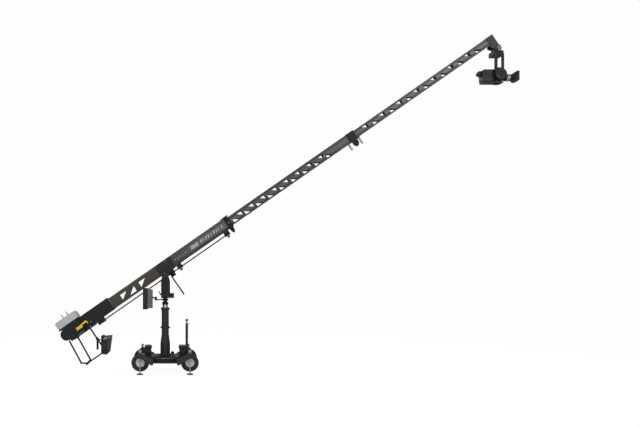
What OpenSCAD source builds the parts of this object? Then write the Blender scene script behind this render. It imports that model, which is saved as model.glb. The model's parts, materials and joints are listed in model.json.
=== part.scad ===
// Telescopic camera jib crane on a wheeled pedestal dolly, with a levelling remote head and a camera.
// The origin is on the floor under the column. +X points to the boom's nose, +Z points up.
// Boom pieces are drawn lying flat, with u along the boom and v square to it, from the tilt pivot.

/* [Boom] */
// Angle of the boom above the horizon at rest
boom_angle = 34.8; // [30:0.1:37]
// Height of the outer beam
outer_h = 202; // [196:1:212]
// Width of the outer beam
outer_w = 150; // [146:1:156]
// Wall of the outer beam
outer_wall = 5; // [4:0.5:6]
// Distance from the pivot to the outer beam's front end
outer_front = 1368; // [1340:1:1400]
// Distance from the pivot back to the outer beam's rear end
outer_rear = 1560; // [1540:1:1580]
// Height of the middle beam
middle_h = 162; // [156:1:166]
// Width of the middle beam
middle_w = 118; // [114:1:120]
// Wall of the middle beam
middle_wall = 4; // [3:0.5:5]
// Length of the middle beam that stands out of the outer one
middle_reach = 2619; // [2500:1:2700]
// Height of the inner beam
inner_h = 133; // [126:1:138]
// Width of the inner beam
inner_w = 92; // [86:1:94]
// Wall of the inner beam
inner_wall = 3.5; // [3:0.5:4.5]
// Length of the inner beam that stands out of the middle one
inner_reach = 2788; // [2700:1:2900]
// Length of a beam that stays inside the next one
beam_overlap = 430; // [380:1:460]
// Height of the chord along the top and the bottom of each beam
chord_h = 26; // [22:1:30]
// Depth of the side webs behind the chords
chord_d = 3; // [2:0.5:4]

/* [Windows] */
// Width of an outer beam window
outer_window_w = 140; // [120:1:146]
// Height of an outer beam window
outer_window_h = 102; // [80:1:110]
// Width of a middle beam window
middle_window_w = 104; // [80:1:108]
// Height of a middle beam window
middle_window_h = 74; // [60:1:84]
// Distance between like windows of the middle beam
middle_window_pitch = 239; // [232:1:250]
// Number of window pairs in the middle beam
middle_window_pairs = 9; // [3:1:9]
// Width of an inner beam window
inner_window_w = 110; // [80:1:120]
// Height of an inner beam window
inner_window_h = 70; // [50:1:74]
// Distance between like windows of the inner beam
inner_window_pitch = 352; // [320:1:360]
// Number of window pairs in the inner beam
inner_window_pairs = 7; // [3:1:7]

/* [Boom fittings] */
// Radius of the trunnion shaft
trunnion_r = 15; // [12:0.5:18]
// Thickness of the saddle plates
saddle_t = 8; // [6:1:9]
// Length of the saddle plates in front of the pivot
saddle_front = 230; // [180:1:240]
// Length of the saddle plates behind the pivot
saddle_back = 76; // [60:1:100]
// Radius of the guide rail under the beam
rail_r = 11; // [9:0.5:12]
// Distance from the pivot down to the guide rail
rail_drop = 41; // [38:1:46]
// Offset of the guide rail to the near side
rail_y = 50; // [46:1:52]
// Length of the tilt lever from its hub
tilt_lever_l = 439; // [380:1:450]
// Radius of the tilt lever's grip
tilt_grip_r = 12; // [10:0.5:13]
// Length of the collar on the outer beam's end
collar_l = 85; // [70:1:100]
// Wall of both beam collars
collar_wall = 8; // [6:1:10]
// Length of the collar on the middle beam's end
middle_collar_l = 137; // [120:1:150]

/* [Tail carriage] */
// Distance from the pivot back to the carriage's front edge
carriage_front = 1028; // [1010:1:1050]
// Distance from the pivot back to the centre of the rounded tail
tail_centre = 1930; // [1900:1:1950]
// Radius of the rounded tail
tail_r = 102; // [96:1:106]
// Half width of the carriage over its weight pods
pod_half_w = 155; // [140:1:170]
// Wall of the carriage
carriage_wall = 8; // [6:1:10]
// Thickness of the weights inside the carriage
side_weight_t = 28; // [10:1:44]
// Length of the weight slabs
slab_l = 394; // [340:1:400]
// Thickness of one weight slab
slab_t = 25; // [20:1:28]
// Number of weight slabs
slab_count = 5; // [2:1:6]
// Radius of the push frame's tubes
push_r = 14; // [11:0.5:16]
// Drop of the push frame below the pivot line
push_drop = 478; // [440:1:490]

/* [Column and pan head] */
// Radius of the column's upper tube
column_r = 62; // [58:1:66]
// Radius of the column's flared base
column_base_r = 82; // [78:1:90]
// Height of the column above the deck
column_h = 807; // [780:1:840]
// Radius of the lift ram
ram_r = 46; // [42:1:50]
// Length of the lift ram left in view at rest
ram_show = 47; // [40:1:60]
// Height of the neck with its collar
neck_h = 114; // [104:1:124]
// Radius of the neck
neck_r = 36; // [32:1:40]
// Height of the yoke from its underside to the pivot
yoke_h = 394; // [380:1:410]
// Thickness of a yoke cheek
cheek_t = 20; // [16:1:22]
// Side gap between the saddle plates and the cheeks
cheek_gap = 9; // [7:1:12]

/* [Dolly] */
// Wheel radius
wheel_r = 146; // [138:1:150]
// Wheel width
wheel_w = 60; // [50:1:64]
// Radius of the wheel's hub
hub_r = 69; // [60:1:76]
// Gap between the wheels and the floor when the jacks carry the load
wheel_lift = 34; // [28:1:44]
// Distance between the axles
wheelbase = 812; // [800:1:840]
// Distance between the wheels' centre planes
track = 720; // [710:1:740]
// Height of the deck above the floor
deck_top = 255; // [250:1:262]
// Depth of the chassis hull
hull_h = 105; // [95:1:108]
// Length of the chassis hull
hull_l = 660; // [640:1:670]
// Width of the chassis hull
hull_w = 500; // [480:1:510]
// Distance from the centre to a jack screw across the dolly
jack_y = 470; // [464:1:486]
// Radius of a jack screw
jack_r = 10; // [8:0.5:12]
// Radius of a jack pad
pad_r = 55; // [48:1:58]
// Height of the equipment boxes with their lids
box_h = 168; // [150:1:190]
// Wall of the equipment boxes
box_wall = 4; // [3:0.5:6]
// Height of the steering post above the floor
post_h = 794; // [740:1:820]
// Radius of the steering post
post_r = 21; // [18:0.5:22]

/* [Remote head and camera] */
// Height of the head from the levelling pivot down to the tilt axis
head_drop = 465; // [450:1:480]
// Radius of the levelling sector
sector_r = 94; // [84:1:96]
// Length of the camera body
camera_l = 340; // [320:1:346]
// Width of the camera body
camera_w = 120; // [100:1:126]
// Height of the camera body
camera_h = 198; // [180:1:200]
// Radius of the lens barrel
lens_r = 56; // [48:1:60]
// Length of the lens hood
hood_l = 80; // [70:1:90]

/* [Hidden] */

// Clearances
seat = 0.3;
running = 0.05;
far = 4000;

// Boom frame
trunnion_gap = 1;
axis_v = outer_h / 2 + trunnion_r + trunnion_gap;
outer_top = axis_v + outer_h / 2;
outer_bottom = axis_v - outer_h / 2;
middle_front = outer_front + middle_reach;
middle_rear = outer_front - beam_overlap;
inner_front = middle_front + inner_reach;
inner_rear = middle_front - beam_overlap;

// Column and head stack
deck_plate_t = 8;
column_z = deck_top + deck_plate_t;
column_top = column_z + column_h;
ram_top = column_top + ram_show;
neck_top = ram_top + seat + neck_h;
pivot_z = neck_top + yoke_h;
cheek_in = outer_w / 2 + saddle_t + cheek_gap;
cheek_out = cheek_in + cheek_t;

// Wheels and jacks
wheel_z = wheel_lift + wheel_r;
axle_x = wheelbase / 2;
kingpin_y = 290;
axle_r = 14;

function boom_x(u, v) = u * cos(boom_angle) - v * sin(boom_angle);
function boom_z(u, v) = pivot_z + u * sin(boom_angle) + v * cos(boom_angle);

// Colours
olive = [0.29, 0.27, 0.2];
grey_paint = [0.38, 0.38, 0.37];
warm_grey = [0.42, 0.41, 0.38];
black = [0.12, 0.12, 0.13];
soft_black = [0.18, 0.18, 0.19];
silver = [0.72, 0.72, 0.72];
pale = [0.7, 0.7, 0.7];
yellow = [0.82, 0.7, 0.16];
tyre_black = [0.09, 0.09, 0.09];

// Carries a boom piece to its place in the crane
module on_boom() {
    translate([0, 0, pivot_z]) rotate([0, -boom_angle, 0]) children();
}

// Turns a flat outline in x and z into a plate between two y values
module plate_y(y0, y1) {
    translate([0, y1, 0]) rotate([90, 0, 0]) linear_extrude(height = y1 - y0) children();
}

// Rod or tube stretch between two points
module bar(a, b, r) {
    d = b - a;
    l = norm(d);
    translate(a) rotate([0, acos(d.z / l), atan2(d.y, d.x)]) cylinder(h = l, r = r, $fn = 32);
}

// Box between two corners
module block(a, b) {
    translate(a) cube(b - a);
}

// Cylinder along y from y0 to y1
module disc_y(x, z, y0, y1, r) {
    translate([x, y1, z]) rotate([90, 0, 0]) cylinder(h = y1 - y0, r = r, $fn = 48);
}

// Beams

module beam_section(h, w, wall) {
    difference() {
        square([w, h], center = true);
        for (side = [-1, 1])
            translate([side * w / 2, 0]) square([2 * chord_d, h - 2 * chord_h], center = true);
        square([w - 2 * (wall + chord_d), h - 2 * wall], center = true);
    }
}

module box_beam(u0, u1, h, w, wall) {
    translate([u0, 0, axis_v]) rotate([90, 0, 90])
        linear_extrude(height = u1 - u0) beam_section(h, w, wall);
}

// Triangular window through both webs. The outline starts at the corner u, v.
module window(u, v, outline) {
    plate_y(-far, far) translate([u, v]) polygon(outline);
}

function lower_left(w, h) = [[0, 0], [w, 0], [0, h]];
function upper_right(w, h) = [[0, h], [w, 0], [w, h]];
function upper_left(w, h) = [[0, 0], [w, h], [0, h]];
function lower_right(w, h) = [[0, 0], [w, 0], [w, h]];

outer_window_pitch = outer_window_w + 7;
outer_window_u = -835;

module outer_beam() {
    color(olive) on_boom() difference() {
        box_beam(-outer_rear, outer_front, outer_h, outer_w, outer_wall);
        for (i = [0:2])
            window(outer_window_u + i * outer_window_pitch + (i == 2 ? 90 : 0), axis_v - outer_window_h / 2 - 12,
                i == 1 ? lower_right(outer_window_w, outer_window_h)
                       : upper_left(outer_window_w, outer_window_h));
    }
}

window_gap = 102;
middle_window_u = outer_front + 102;

// Blocks at a beam's rear end that slide in the next beam
guide_l = 90;

module rear_guides(u, h, w, next_h, next_w) {
    for (side = [-1, 1]) {
        block([u, -w / 4, axis_v + (side > 0 ? h / 2 : -next_h / 2 + seat)],
            [u + guide_l, w / 4, axis_v + (side > 0 ? next_h / 2 - seat : -h / 2)]);
        block([u, side > 0 ? w / 2 : -next_w / 2 + seat, axis_v - h / 2],
            [u + guide_l, side > 0 ? next_w / 2 - seat : -w / 2, axis_v - h / 2 + chord_h]);
    }
}

module middle_beam() {
    color(grey_paint) on_boom() {
        difference() {
            box_beam(middle_rear, middle_front, middle_h, middle_w, middle_wall);
            for (i = [0:middle_window_pairs - 1]) {
                u = middle_window_u + i * middle_window_pitch;
                low = axis_v - middle_window_h / 2 - 18;
                window(u, low, lower_left(middle_window_w, middle_window_h));
                if (i < middle_window_pairs - 1)
                    window(u + window_gap, low + 16, upper_right(middle_window_w, middle_window_h));
            }
        }
        rear_guides(middle_rear, middle_h, middle_w,
            outer_h - 2 * outer_wall, outer_w - 2 * (outer_wall + chord_d));
    }
}

inner_window_start = 168;
inner_window_gap = 204;
inner_window_u = middle_front + inner_window_start;

module inner_beam() {
    color(warm_grey) on_boom() {
        difference() {
            box_beam(inner_rear, inner_front, inner_h, inner_w, inner_wall);
            for (i = [0:inner_window_pairs - 1]) {
                u = inner_window_u + i * inner_window_pitch;
                low = axis_v - inner_window_h / 2 - 6;
                window(u, low + 6, upper_right(inner_window_w, inner_window_h));
                window(u + inner_window_gap, low, lower_left(inner_window_w, inner_window_h));
            }
        }
        rear_guides(inner_rear, inner_h, inner_w,
            middle_h - 2 * middle_wall, middle_w - 2 * (middle_wall + chord_d));
    }
}

// Ring of rectangular section around a beam, from u0 to u1
module sleeve(u0, u1, hole_h, hole_w, out_h, out_w) {
    translate([u0, 0, axis_v]) rotate([90, 0, 90]) linear_extrude(height = u1 - u0) difference() {
        square([out_w, out_h], center = true);
        square([hole_w, hole_h], center = true);
    }
}

// Pointed foot below a collar
module pointed_foot(u0, u1, top, low) {
    mid = (u0 + u1) / 2;
    plate_y(-30, 30) polygon([[u0, top], [u0, low + 45], [mid - 8, low], [mid + 8, low],
        [u1, low + 45], [u1, top]]);
}

collar_u0 = outer_front - 33;
collar_u1 = collar_u0 + collar_l;
collar_top = outer_top + seat + collar_wall;
collar_bottom = outer_bottom - seat - collar_wall;

module front_collar() {
    color(black) on_boom() {
        sleeve(collar_u0, outer_front, outer_h + 2 * seat, outer_w + 2 * seat,
            outer_h + 2 * (seat + collar_wall), outer_w + 2 * (seat + collar_wall));
        sleeve(outer_front, collar_u1, middle_h + 2 * seat, middle_w + 2 * seat,
            outer_h + 2 * (seat + collar_wall), outer_w + 2 * (seat + collar_wall));
        pointed_foot(collar_u0 + 16, collar_u1 - 9, collar_bottom, collar_bottom - 88);
        block([collar_u0 - 43, -40, collar_top], [collar_u1 + 25, 40, collar_top + 10]);
        for (side = [-1, 1])
            disc_y(collar_u0 + collar_l / 2, axis_v - 10, side * (outer_w / 2 + collar_wall + 2) - 2,
                side * (outer_w / 2 + collar_wall + 2) + 2, 14);
    }
}

skid_l = 67;
skid_t = 8;

module middle_collar() {
    u0 = middle_front - middle_collar_l;
    low = axis_v - inner_h / 2 - seat;
    color(black) on_boom() {
        sleeve(u0, middle_front, middle_h + 2 * seat, middle_w + 2 * seat,
            middle_h + 2 * (seat + 3), middle_w + 2 * (seat + collar_wall));
        sleeve(middle_front, middle_front + 6, inner_h + 2 * seat, inner_w + 2 * seat,
            middle_h + 2 * (seat + 3), middle_w + 2 * (seat + collar_wall));
        pointed_foot(middle_front - 86, middle_front, axis_v - middle_h / 2 - seat - 3,
            axis_v - middle_h / 2 - 107);
        block([middle_front + 6, -30, low - skid_t], [middle_front + skid_l, 30, low]);
    }
}

// Ribbed adjusting screws that hang before and behind the middle collar
adjuster_r = 21;
adjuster_ribs = 5;

module adjuster(u, top, low) {
    step = (top - low) / adjuster_ribs;
    translate([u, 0, low]) {
        cylinder(h = top - low, r = adjuster_r * 0.6, $fn = 40);
        for (i = [0:adjuster_ribs - 1])
            translate([0, 0, i * step]) cylinder(h = step * 0.55, r = adjuster_r, $fn = 40);
    }
}

adjuster_low = -82;

module collar_adjusters() {
    color(silver) on_boom() {
        adjuster(middle_front - middle_collar_l - 27, axis_v - middle_h / 2 - seat, adjuster_low);
        adjuster(middle_front + skid_l - adjuster_r, axis_v - inner_h / 2 - seat - skid_t - seat, adjuster_low);
    }
}

// Saddle, guide rail and what hangs under the beam

lug_r = 34;
lever_u = 73;
lever_v = -15;
lever_pin_r = 10;
lever_y = cheek_out + 11;
lever_hub_t = 22;
washer_r = 30;
cap_r = 28;

module saddle_outline() {
    polygon([[-saddle_back, outer_bottom], [-lug_r, 0], [0, -lug_r * 0.6], [lever_u - 12, lever_v - 14],
        [lever_u + 16, lever_v - 10], [saddle_front, outer_bottom], [saddle_front, outer_top], [-saddle_back, outer_top]]);
    circle(r = lug_r, $fn = 64);
}

module saddle() {
    inside = outer_w / 2 + seat;
    outside = outer_w / 2 + saddle_t;
    color(black) on_boom() {
        for (side = [-1, 1]) {
            plate_y(side > 0 ? inside : -outside, side > 0 ? outside : -inside) saddle_outline();
            disc_y(0, 0, side > 0 ? outside : -cheek_in + seat, side > 0 ? cheek_in - seat : -outside, washer_r);
            disc_y(0, 0, side > 0 ? cheek_out + seat : -cheek_out - 10, side > 0 ? cheek_out + 10 : -cheek_out - seat,
                cap_r);
            for (u = [68, 102]) for (v = [axis_v - 10, axis_v + 33])
                disc_y(u, v, side > 0 ? outside : -outside - 4, side > 0 ? outside + 4 : -outside, 9);
        }
        disc_y(0, 0, -cheek_out - 10, cheek_out + 10, trunnion_r);
        disc_y(lever_u, lever_v, -lever_y - lever_hub_t - 4, -outside, lever_pin_r);
        block([44, -inside, outer_bottom - seat - 9], [saddle_front, inside, outer_bottom - seat]);
    }
}

motor_u = 115;
motor_top = outer_bottom - 2 * seat - 9;
gearbox_low = -60;
motor_low = -105;

module drive_motor() {
    color(black) on_boom() {
        block([motor_u - 53, -rail_y + rail_r + 12, gearbox_low], [motor_u + 53, 72, motor_top]);
        translate([motor_u, 20, motor_low]) cylinder(h = gearbox_low - motor_low, r = 42, $fn = 64);
        for (i = [0:3])
            translate([motor_u, 20, motor_low + 6 + i * 10]) cylinder(h = 4, r = 46, $fn = 64);
    }
}

rail_rear = 1400;
rail_front = outer_front - 62;

module guide_rail() {
    color(black) on_boom() difference() {
        bar([-rail_rear, -rail_y, -rail_drop], [rail_front, -rail_y, -rail_drop], rail_r);
        bar([-rail_rear - 1, -rail_y, -rail_drop], [rail_front + 1, -rail_y, -rail_drop], rail_r - 2);
    }
}

bracket_l = 93;
bracket_half_w = 27;

module rail_bracket(u, top) {
    difference() {
        union() {
            block([u, -rail_y - bracket_half_w, -rail_drop - 24], [u + bracket_l, -rail_y + bracket_half_w, top]);
            translate([u + bracket_l / 2, -rail_y, -rail_drop - 56]) {
                cylinder(h = 33, r = 11, $fn = 32);
                for (a = [0:60:300]) rotate([0, 0, a]) translate([17, 0, 0]) cylinder(h = 22, r = 9, $fn = 24);
                cylinder(h = 22, r = 20, $fn = 48);
            }
        }
        bar([u - 1, -rail_y, -rail_drop], [u + bracket_l + 1, -rail_y, -rail_drop], rail_r + running);
    }
}

bracket_mid_u = saddle_front + 6;

module rail_brackets() {
    color(black) on_boom() {
        rail_bracket(bracket_mid_u, outer_bottom - seat);
        rail_bracket(rail_front - bracket_l - 6, outer_bottom - seat);
    }
}

module tilt_lever() {
    y0 = -lever_y - lever_hub_t;
    yc = -lever_y - lever_hub_t / 2;
    color(black) on_boom() difference() {
        union() {
            disc_y(lever_u, lever_v, y0, -lever_y, 20);
            bar([lever_u, yc, lever_v - 16], [lever_u, yc, lever_v - 90], 8);
            bar([lever_u, yc, lever_v - 88], [lever_u, yc, lever_v - tilt_lever_l + tilt_grip_r], tilt_grip_r);
            translate([lever_u, yc, lever_v - tilt_lever_l + tilt_grip_r]) sphere(r = tilt_grip_r, $fn = 32);
        }
        disc_y(lever_u, lever_v, y0 - 1, -lever_y + 1, lever_pin_r + running);
    }
}

// Tail carriage

tunnel_half_w = outer_w / 2 + 4;
tunnel_top = outer_top + 4;
tunnel_bottom = outer_bottom - 4;
sleeve_rear = 1623;
sleeve_top = outer_top + 22;
belly_front = 1420;
belly_v = -26;
pod_front = sleeve_rear;
runner_t = 3.7;

module tail_outline() {
    difference() {
        union() {
            translate([-tail_centre, axis_v]) circle(r = tail_r, $fn = 96);
            polygon([[-tail_centre, axis_v + tail_r], [-sleeve_rear, axis_v + tail_r], [-sleeve_rear, sleeve_top],
                [-carriage_front - 10, sleeve_top], [-carriage_front, sleeve_top - 10],
                [-carriage_front, outer_bottom - 8], [-belly_front, outer_bottom - 8], [-belly_front - 20, belly_v],
                [-tail_centre + 18, belly_v], [-tail_centre, axis_v - tail_r]]);
        }
    }
}

module pod_outline(inset) {
    difference() {
        union() {
            translate([-tail_centre, axis_v]) circle(r = tail_r - inset, $fn = 96);
            polygon([[-tail_centre, axis_v + tail_r - inset], [-pod_front - inset, axis_v + tail_r - inset],
                [-pod_front - inset, belly_v + inset], [-tail_centre + 18, belly_v + inset],
                [-tail_centre, axis_v - tail_r + inset]]);
        }
    }
}

// Housing under the sleeve that runs on the guide rail
runner_u0 = -1402;
runner_u1 = -1258;

module carriage_shell() {
    skin = tunnel_half_w + carriage_wall;
    color(black) on_boom() difference() {
        union() {
            difference() {
                plate_y(-skin, skin) tail_outline();
                block([-far, -tunnel_half_w, tunnel_bottom], [far, tunnel_half_w, tunnel_top]);
            }
            for (side = [-1, 1])
                plate_y(side > 0 ? skin : -pod_half_w, side > 0 ? pod_half_w : -skin) pod_outline(0);
            for (side = [-1, 1]) for (u = [-1500, -1040 - guide_l])
                block([u, side > 0 ? tunnel_half_w - runner_t : -tunnel_half_w, outer_bottom],
                    [u + guide_l, side > 0 ? tunnel_half_w : -tunnel_half_w + runner_t, outer_bottom + chord_h]);
            for (u = [-1500, -1040 - guide_l]) {
                block([u, -30, tunnel_top - runner_t], [u + guide_l, 30, tunnel_top]);
                block([u, -30, tunnel_bottom], [u + guide_l, 30, tunnel_bottom + runner_t]);
            }
            block([runner_u0, -rail_y - 25, -rail_drop - 28], [runner_u1, -rail_y + 25, outer_bottom - 6]);
            disc_y(-1717, axis_v + 58, -pod_half_w - 14, -pod_half_w, 15);
            disc_y(-tail_centre, axis_v - 30, -pod_half_w - 4, -pod_half_w, 16);
        }
        for (side = [-1, 1])
            plate_y(side > 0 ? skin : -pod_half_w + carriage_wall, side > 0 ? pod_half_w - carriage_wall : -skin)
                pod_outline(carriage_wall);
        bar([runner_u0 - 1, -rail_y, -rail_drop], [runner_u1 + 1, -rail_y, -rail_drop], rail_r + running);
        disc_y(lock_u, lock_v, -pod_half_w - 1, -pod_half_w + carriage_wall + 1, lock_pin_r + running);
        rod_holes(axis_v + tail_r - 20, axis_v + tail_r + 1);
    }
}

module side_weights() {
    skin = tunnel_half_w + carriage_wall;
    low = belly_v + carriage_wall + seat;
    color(soft_black) on_boom()
        for (side = [-1, 1])
            block([-tail_centre + 24, side > 0 ? skin + seat : -skin - seat - side_weight_t, low],
                [-pod_front - carriage_wall - seat, side > 0 ? skin + seat + side_weight_t : -skin - seat,
                    axis_v + tail_r - carriage_wall - 22 - seat]);
}

tray_low = outer_top + 8;
tray_top = tray_low + 26;
tray_front = -sleeve_rear - 6;
slab_rear = -2000;
rod_u = [-1841, -1748];
rod_r = 8;
rod_top = 456;

module rod_holes(z0, z1) {
    for (u = rod_u) translate([u, 0, z0]) cylinder(h = z1 - z0, r = rod_r + seat, $fn = 32);
}

module weight_tray() {
    color(black) on_boom() {
        block([slab_rear, -pod_half_w + 5, tray_low], [tray_front, pod_half_w - 5, tray_top]);
        for (side = [-1, 1])
            block([slab_rear + 90, side > 0 ? 90 : -pod_half_w + 10, axis_v + tail_r + seat],
                [tray_front - 12, side > 0 ? pod_half_w - 10 : -90, tray_low + 1]);
        for (u = rod_u) translate([u, 0, tray_low]) {
            cylinder(h = rod_top - tray_low - 40, r = rod_r, $fn = 32);
            cylinder(h = rod_top - tray_low, r = rod_r - 2, $fn = 32);
        }
    }
}

slab_gap = 0.3;
slab_chamfer = 22;

module weight_slabs() {
    color(pale) on_boom() difference() {
        for (i = [0:slab_count - 1]) {
            cut = i == slab_count - 1 ? slab_chamfer : i == 0 ? slab_chamfer / 2 : 0;
            z0 = tray_top + slab_gap + i * (slab_t + slab_gap);
            plate_y(-pod_half_w + 12, pod_half_w - 12)
                polygon([[slab_rear + (i == 0 ? cut : 0), z0], [slab_rear + slab_l, z0],
                    [slab_rear + slab_l - (i == 0 ? 0 : cut), z0 + slab_t],
                    [slab_rear + (i == 0 ? 0 : cut), z0 + slab_t]]);
        }
        for (u = rod_u) translate([u, 0, tray_low]) cylinder(h = rod_top - tray_low, r = rod_r + 1, $fn = 32);
    }
}

lock_u = -1690;
lock_v = 92;
lock_pin_r = 8;

module lock_lever() {
    y0 = -pod_half_w - seat;
    color(yellow) on_boom() {
        plate_y(y0 - 16, y0)
            polygon([[-1742, lock_v - 26], [-1628, lock_v - 22], [-1622, lock_v + 8], [-1540, lock_v + 14],
                [-1528, lock_v - 22], [-1514, lock_v - 18], [-1522, lock_v + 36], [-1536, lock_v + 42],
                [-1628, lock_v + 30], [-1742, lock_v + 24]]);
        disc_y(lock_u, lock_v, y0, -pod_half_w + carriage_wall - 1, lock_pin_r);
    }
}

push_y = 110;
push_rear_u = -1972;
push_corner_u = push_rear_u + 43;
push_bend_u = push_rear_u + 85;
push_far_u = push_rear_u + 126;
push_front_u = -1550;
grip_r = 17;
clamp_u = -1553;
clamp_v = -241;

// Tubes of the push frame, with its clamps and the hand grip that hangs from the front clamp
module push_frame() {
    low = -push_drop;
    top = belly_v - seat;
    rear_low = [push_rear_u - 34, -push_y, low + 66];
    corner = [push_corner_u, -push_y, low];
    front = [push_front_u - 5, -push_y, low];
    cx = boom_x(clamp_u, clamp_v);
    cz = boom_z(clamp_u, clamp_v);
    color(black) {
        on_boom() {
            bar([push_rear_u + 14, -push_y, top + 36], rear_low, push_r);
            translate(rear_low) sphere(r = push_r + 5, $fn = 32);
            bar(rear_low, corner, push_r - 1);
            bar(corner, front, push_r - 2);
            translate(front) sphere(r = push_r + 3, $fn = 32);
            bar([push_front_u, -push_y, top], front, push_r);
            bar([push_far_u, push_y, top - 3], [push_bend_u, push_y, low + 20], push_r);
            block([push_far_u - 26, push_y - 22, top - 12], [push_far_u + 26, push_y + 22, top]);
            translate([push_bend_u, push_y, low + 20]) sphere(r = push_r + 3, $fn = 32);
            bar([push_bend_u, push_y, low + 20], corner, push_r - 3);
            block([push_corner_u - 24, -push_y - 20, low - 20], [push_corner_u + 24, -push_y + 20, low + 20]);
            block([clamp_u - 22, -push_y - 22, clamp_v - 28], [clamp_u + 22, -push_y + 22, clamp_v + 28]);
        }
        translate([cx, -push_y, cz]) {
            bar([0, -10, 0], [monitor_off - 6, -arm_out, -14], 9);
            bar([0, -10, 0], [monitor_off - 6, -arm_out, -120], 7);
            for (z = [-14, -120])
                block([monitor_off - 8, -arm_out - 16, z - 16], [monitor_off, -arm_out + 16, z + 16]);
            bar([0, 0, -10], [0, 0, -38], 11);
            bar([0, 0, -30], [0, 0, -175], grip_r);
        }
    }
}

monitor_off = 92;
arm_out = 62;
monitor_w = 250;
monitor_t = 150;
monitor_h = 296;

module tail_monitor() {
    x0 = boom_x(clamp_u, clamp_v) + monitor_off + seat;
    z0 = boom_z(clamp_u, clamp_v) - 219;
    color(black)
        plate_y(-push_y - push_r - 14 - monitor_w, -push_y - push_r - 14)
            polygon([[x0, z0 + 20], [x0 + 20, z0], [x0 + 90, z0 - 8], [x0 + 130, z0 + 26],
                [x0 + monitor_t + 14, z0 + monitor_h], [x0 + 40, z0 + monitor_h - 14],
                [x0 + 36, z0 + monitor_h], [x0, z0 + monitor_h]]);
}

// Column, ram and pan head

ring_z = 718;
column_foot_r = 98;
column_foot_h = 18;
column_taper_z0 = 463;
column_taper_z1 = 616;
ram_l = 470;
bore_z = ram_top - ram_l;

module column() {
    color(soft_black) difference() {
        rotate_extrude($fn = 96) polygon([[0, column_z], [column_foot_r, column_z],
            [column_foot_r, column_z + column_foot_h], [column_base_r + 3, column_z + column_foot_h],
            [column_base_r, column_z + column_foot_h + 6], [column_base_r, column_taper_z0],
            [column_r, column_taper_z1], [column_r, ring_z], [column_r + 14, ring_z],
            [column_r + 20, ring_z + 6], [column_r + 20, ring_z + 23], [column_r + 14, ring_z + 29],
            [column_r, ring_z + 29], [column_r, column_top - 41], [column_r + 12, column_top - 38],
            [column_r + 12, column_top - 4], [column_r + 8, column_top], [0, column_top]]);
        translate([0, 0, bore_z - seat]) cylinder(h = far, r = ram_r + running, $fn = 96);
    }
}

spigot_r = 25;
spigot_h = 60;

module lift_ram() {
    color(silver) translate([0, 0, bore_z]) {
        cylinder(h = ram_l, r = ram_r, $fn = 96);
        cylinder(h = ram_l + spigot_h, r = spigot_r, $fn = 64);
    }
}

pan_collar_r = 53;
pan_collar_h = 43;

module pan_neck() {
    z0 = ram_top + seat;
    color(black) difference() {
        rotate_extrude($fn = 96) polygon([[0, z0], [pan_collar_r - 4, z0], [pan_collar_r, z0 + 5],
            [pan_collar_r, z0 + pan_collar_h - 5], [pan_collar_r - 5, z0 + pan_collar_h],
            [neck_r, z0 + pan_collar_h], [neck_r, z0 + neck_h], [0, z0 + neck_h]]);
        translate([0, 0, z0 - 1]) cylinder(h = spigot_h + 1, r = spigot_r + running, $fn = 64);
    }
}

cheek_r = 48;
yoke_x0 = -70;
yoke_x1 = 82;
yoke_base_h = 82;
shoulder_z = -110;

// One cheek of the yoke, seen from the side
module cheek_outline() {
    a = [yoke_x1, shoulder_z];
    b = [yoke_x0, shoulder_z];
    ta = atan2(a.y, a.x) + acos(cheek_r / norm(a));
    tb = atan2(b.y, b.x) - acos(cheek_r / norm(b));
    circle(r = cheek_r, $fn = 96);
    polygon([[yoke_x0, -yoke_h], [yoke_x1, -yoke_h], a, cheek_r * [cos(ta), sin(ta)],
        cheek_r * [cos(tb), sin(tb)], b]);
}

module yoke() {
    color(black) difference() {
        union() {
            translate([0, 0, pivot_z]) for (side = [-1, 1])
                plate_y(side > 0 ? cheek_in : -cheek_out, side > 0 ? cheek_out : -cheek_in) cheek_outline();
            block([yoke_x0, -cheek_out, neck_top], [yoke_x1, cheek_out, neck_top + yoke_base_h]);
            for (side = [-1, 1])
                block([yoke_x1 - 12, side > 0 ? cheek_in - 20 : -cheek_in - 1, neck_top + yoke_base_h - 1],
                    [yoke_x1, side > 0 ? cheek_in + 1 : -cheek_in + 20, neck_top + yoke_base_h + 60]);
            for (z = [60, 110])
                disc_y(0, neck_top + yoke_base_h + z, -cheek_out - 4, -cheek_out, 8);
        }
        disc_y(0, pivot_z, -cheek_out - 1, cheek_out + 1, trunnion_r + running);
        translate([yoke_x0 - 1, 0, neck_top + brake_z]) rotate([0, 90, 0])
            cylinder(h = 41, r = brake_screw_r + running, $fn = 32);
    }
}

control_box_l = 66;

module control_box() {
    color(black) difference() {
        block([yoke_x1 + seat, -60, neck_top], [yoke_x1 + seat + control_box_l, 60, neck_top + yoke_base_h]);
        for (i = [0:3])
            block([yoke_x1 + control_box_l - 4, -48, neck_top + 14 + i * 16],
                [yoke_x1 + control_box_l + 2, 48, neck_top + 20 + i * 16]);
    }
}

brake_z = 62;
brake_screw_r = 8;

module pan_brake_lever() {
    x0 = yoke_x0 - seat;
    z0 = neck_top + brake_z;
    color(silver) {
        translate([x0 - 22, 0, z0]) rotate([0, 90, 0]) cylinder(h = 22, r = 14, $fn = 40);
        translate([x0 - 22, 0, z0]) rotate([0, 90, 0]) cylinder(h = 60, r = brake_screw_r, $fn = 32);
        bar([x0 - 12, 0, z0], [x0 - 34, -34, z0 + 44], 6);
        translate([x0 - 34, -34, z0 + 44]) sphere(r = 11, $fn = 32);
    }
}

// Terminal on its jointed arm
arm_z = neck_top - 27;
arm_elbow = [-156, -120];
arm_pin_r = 9;
clamp_ring_r = neck_r + 16;
elbow_gap = 0.5;

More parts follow.
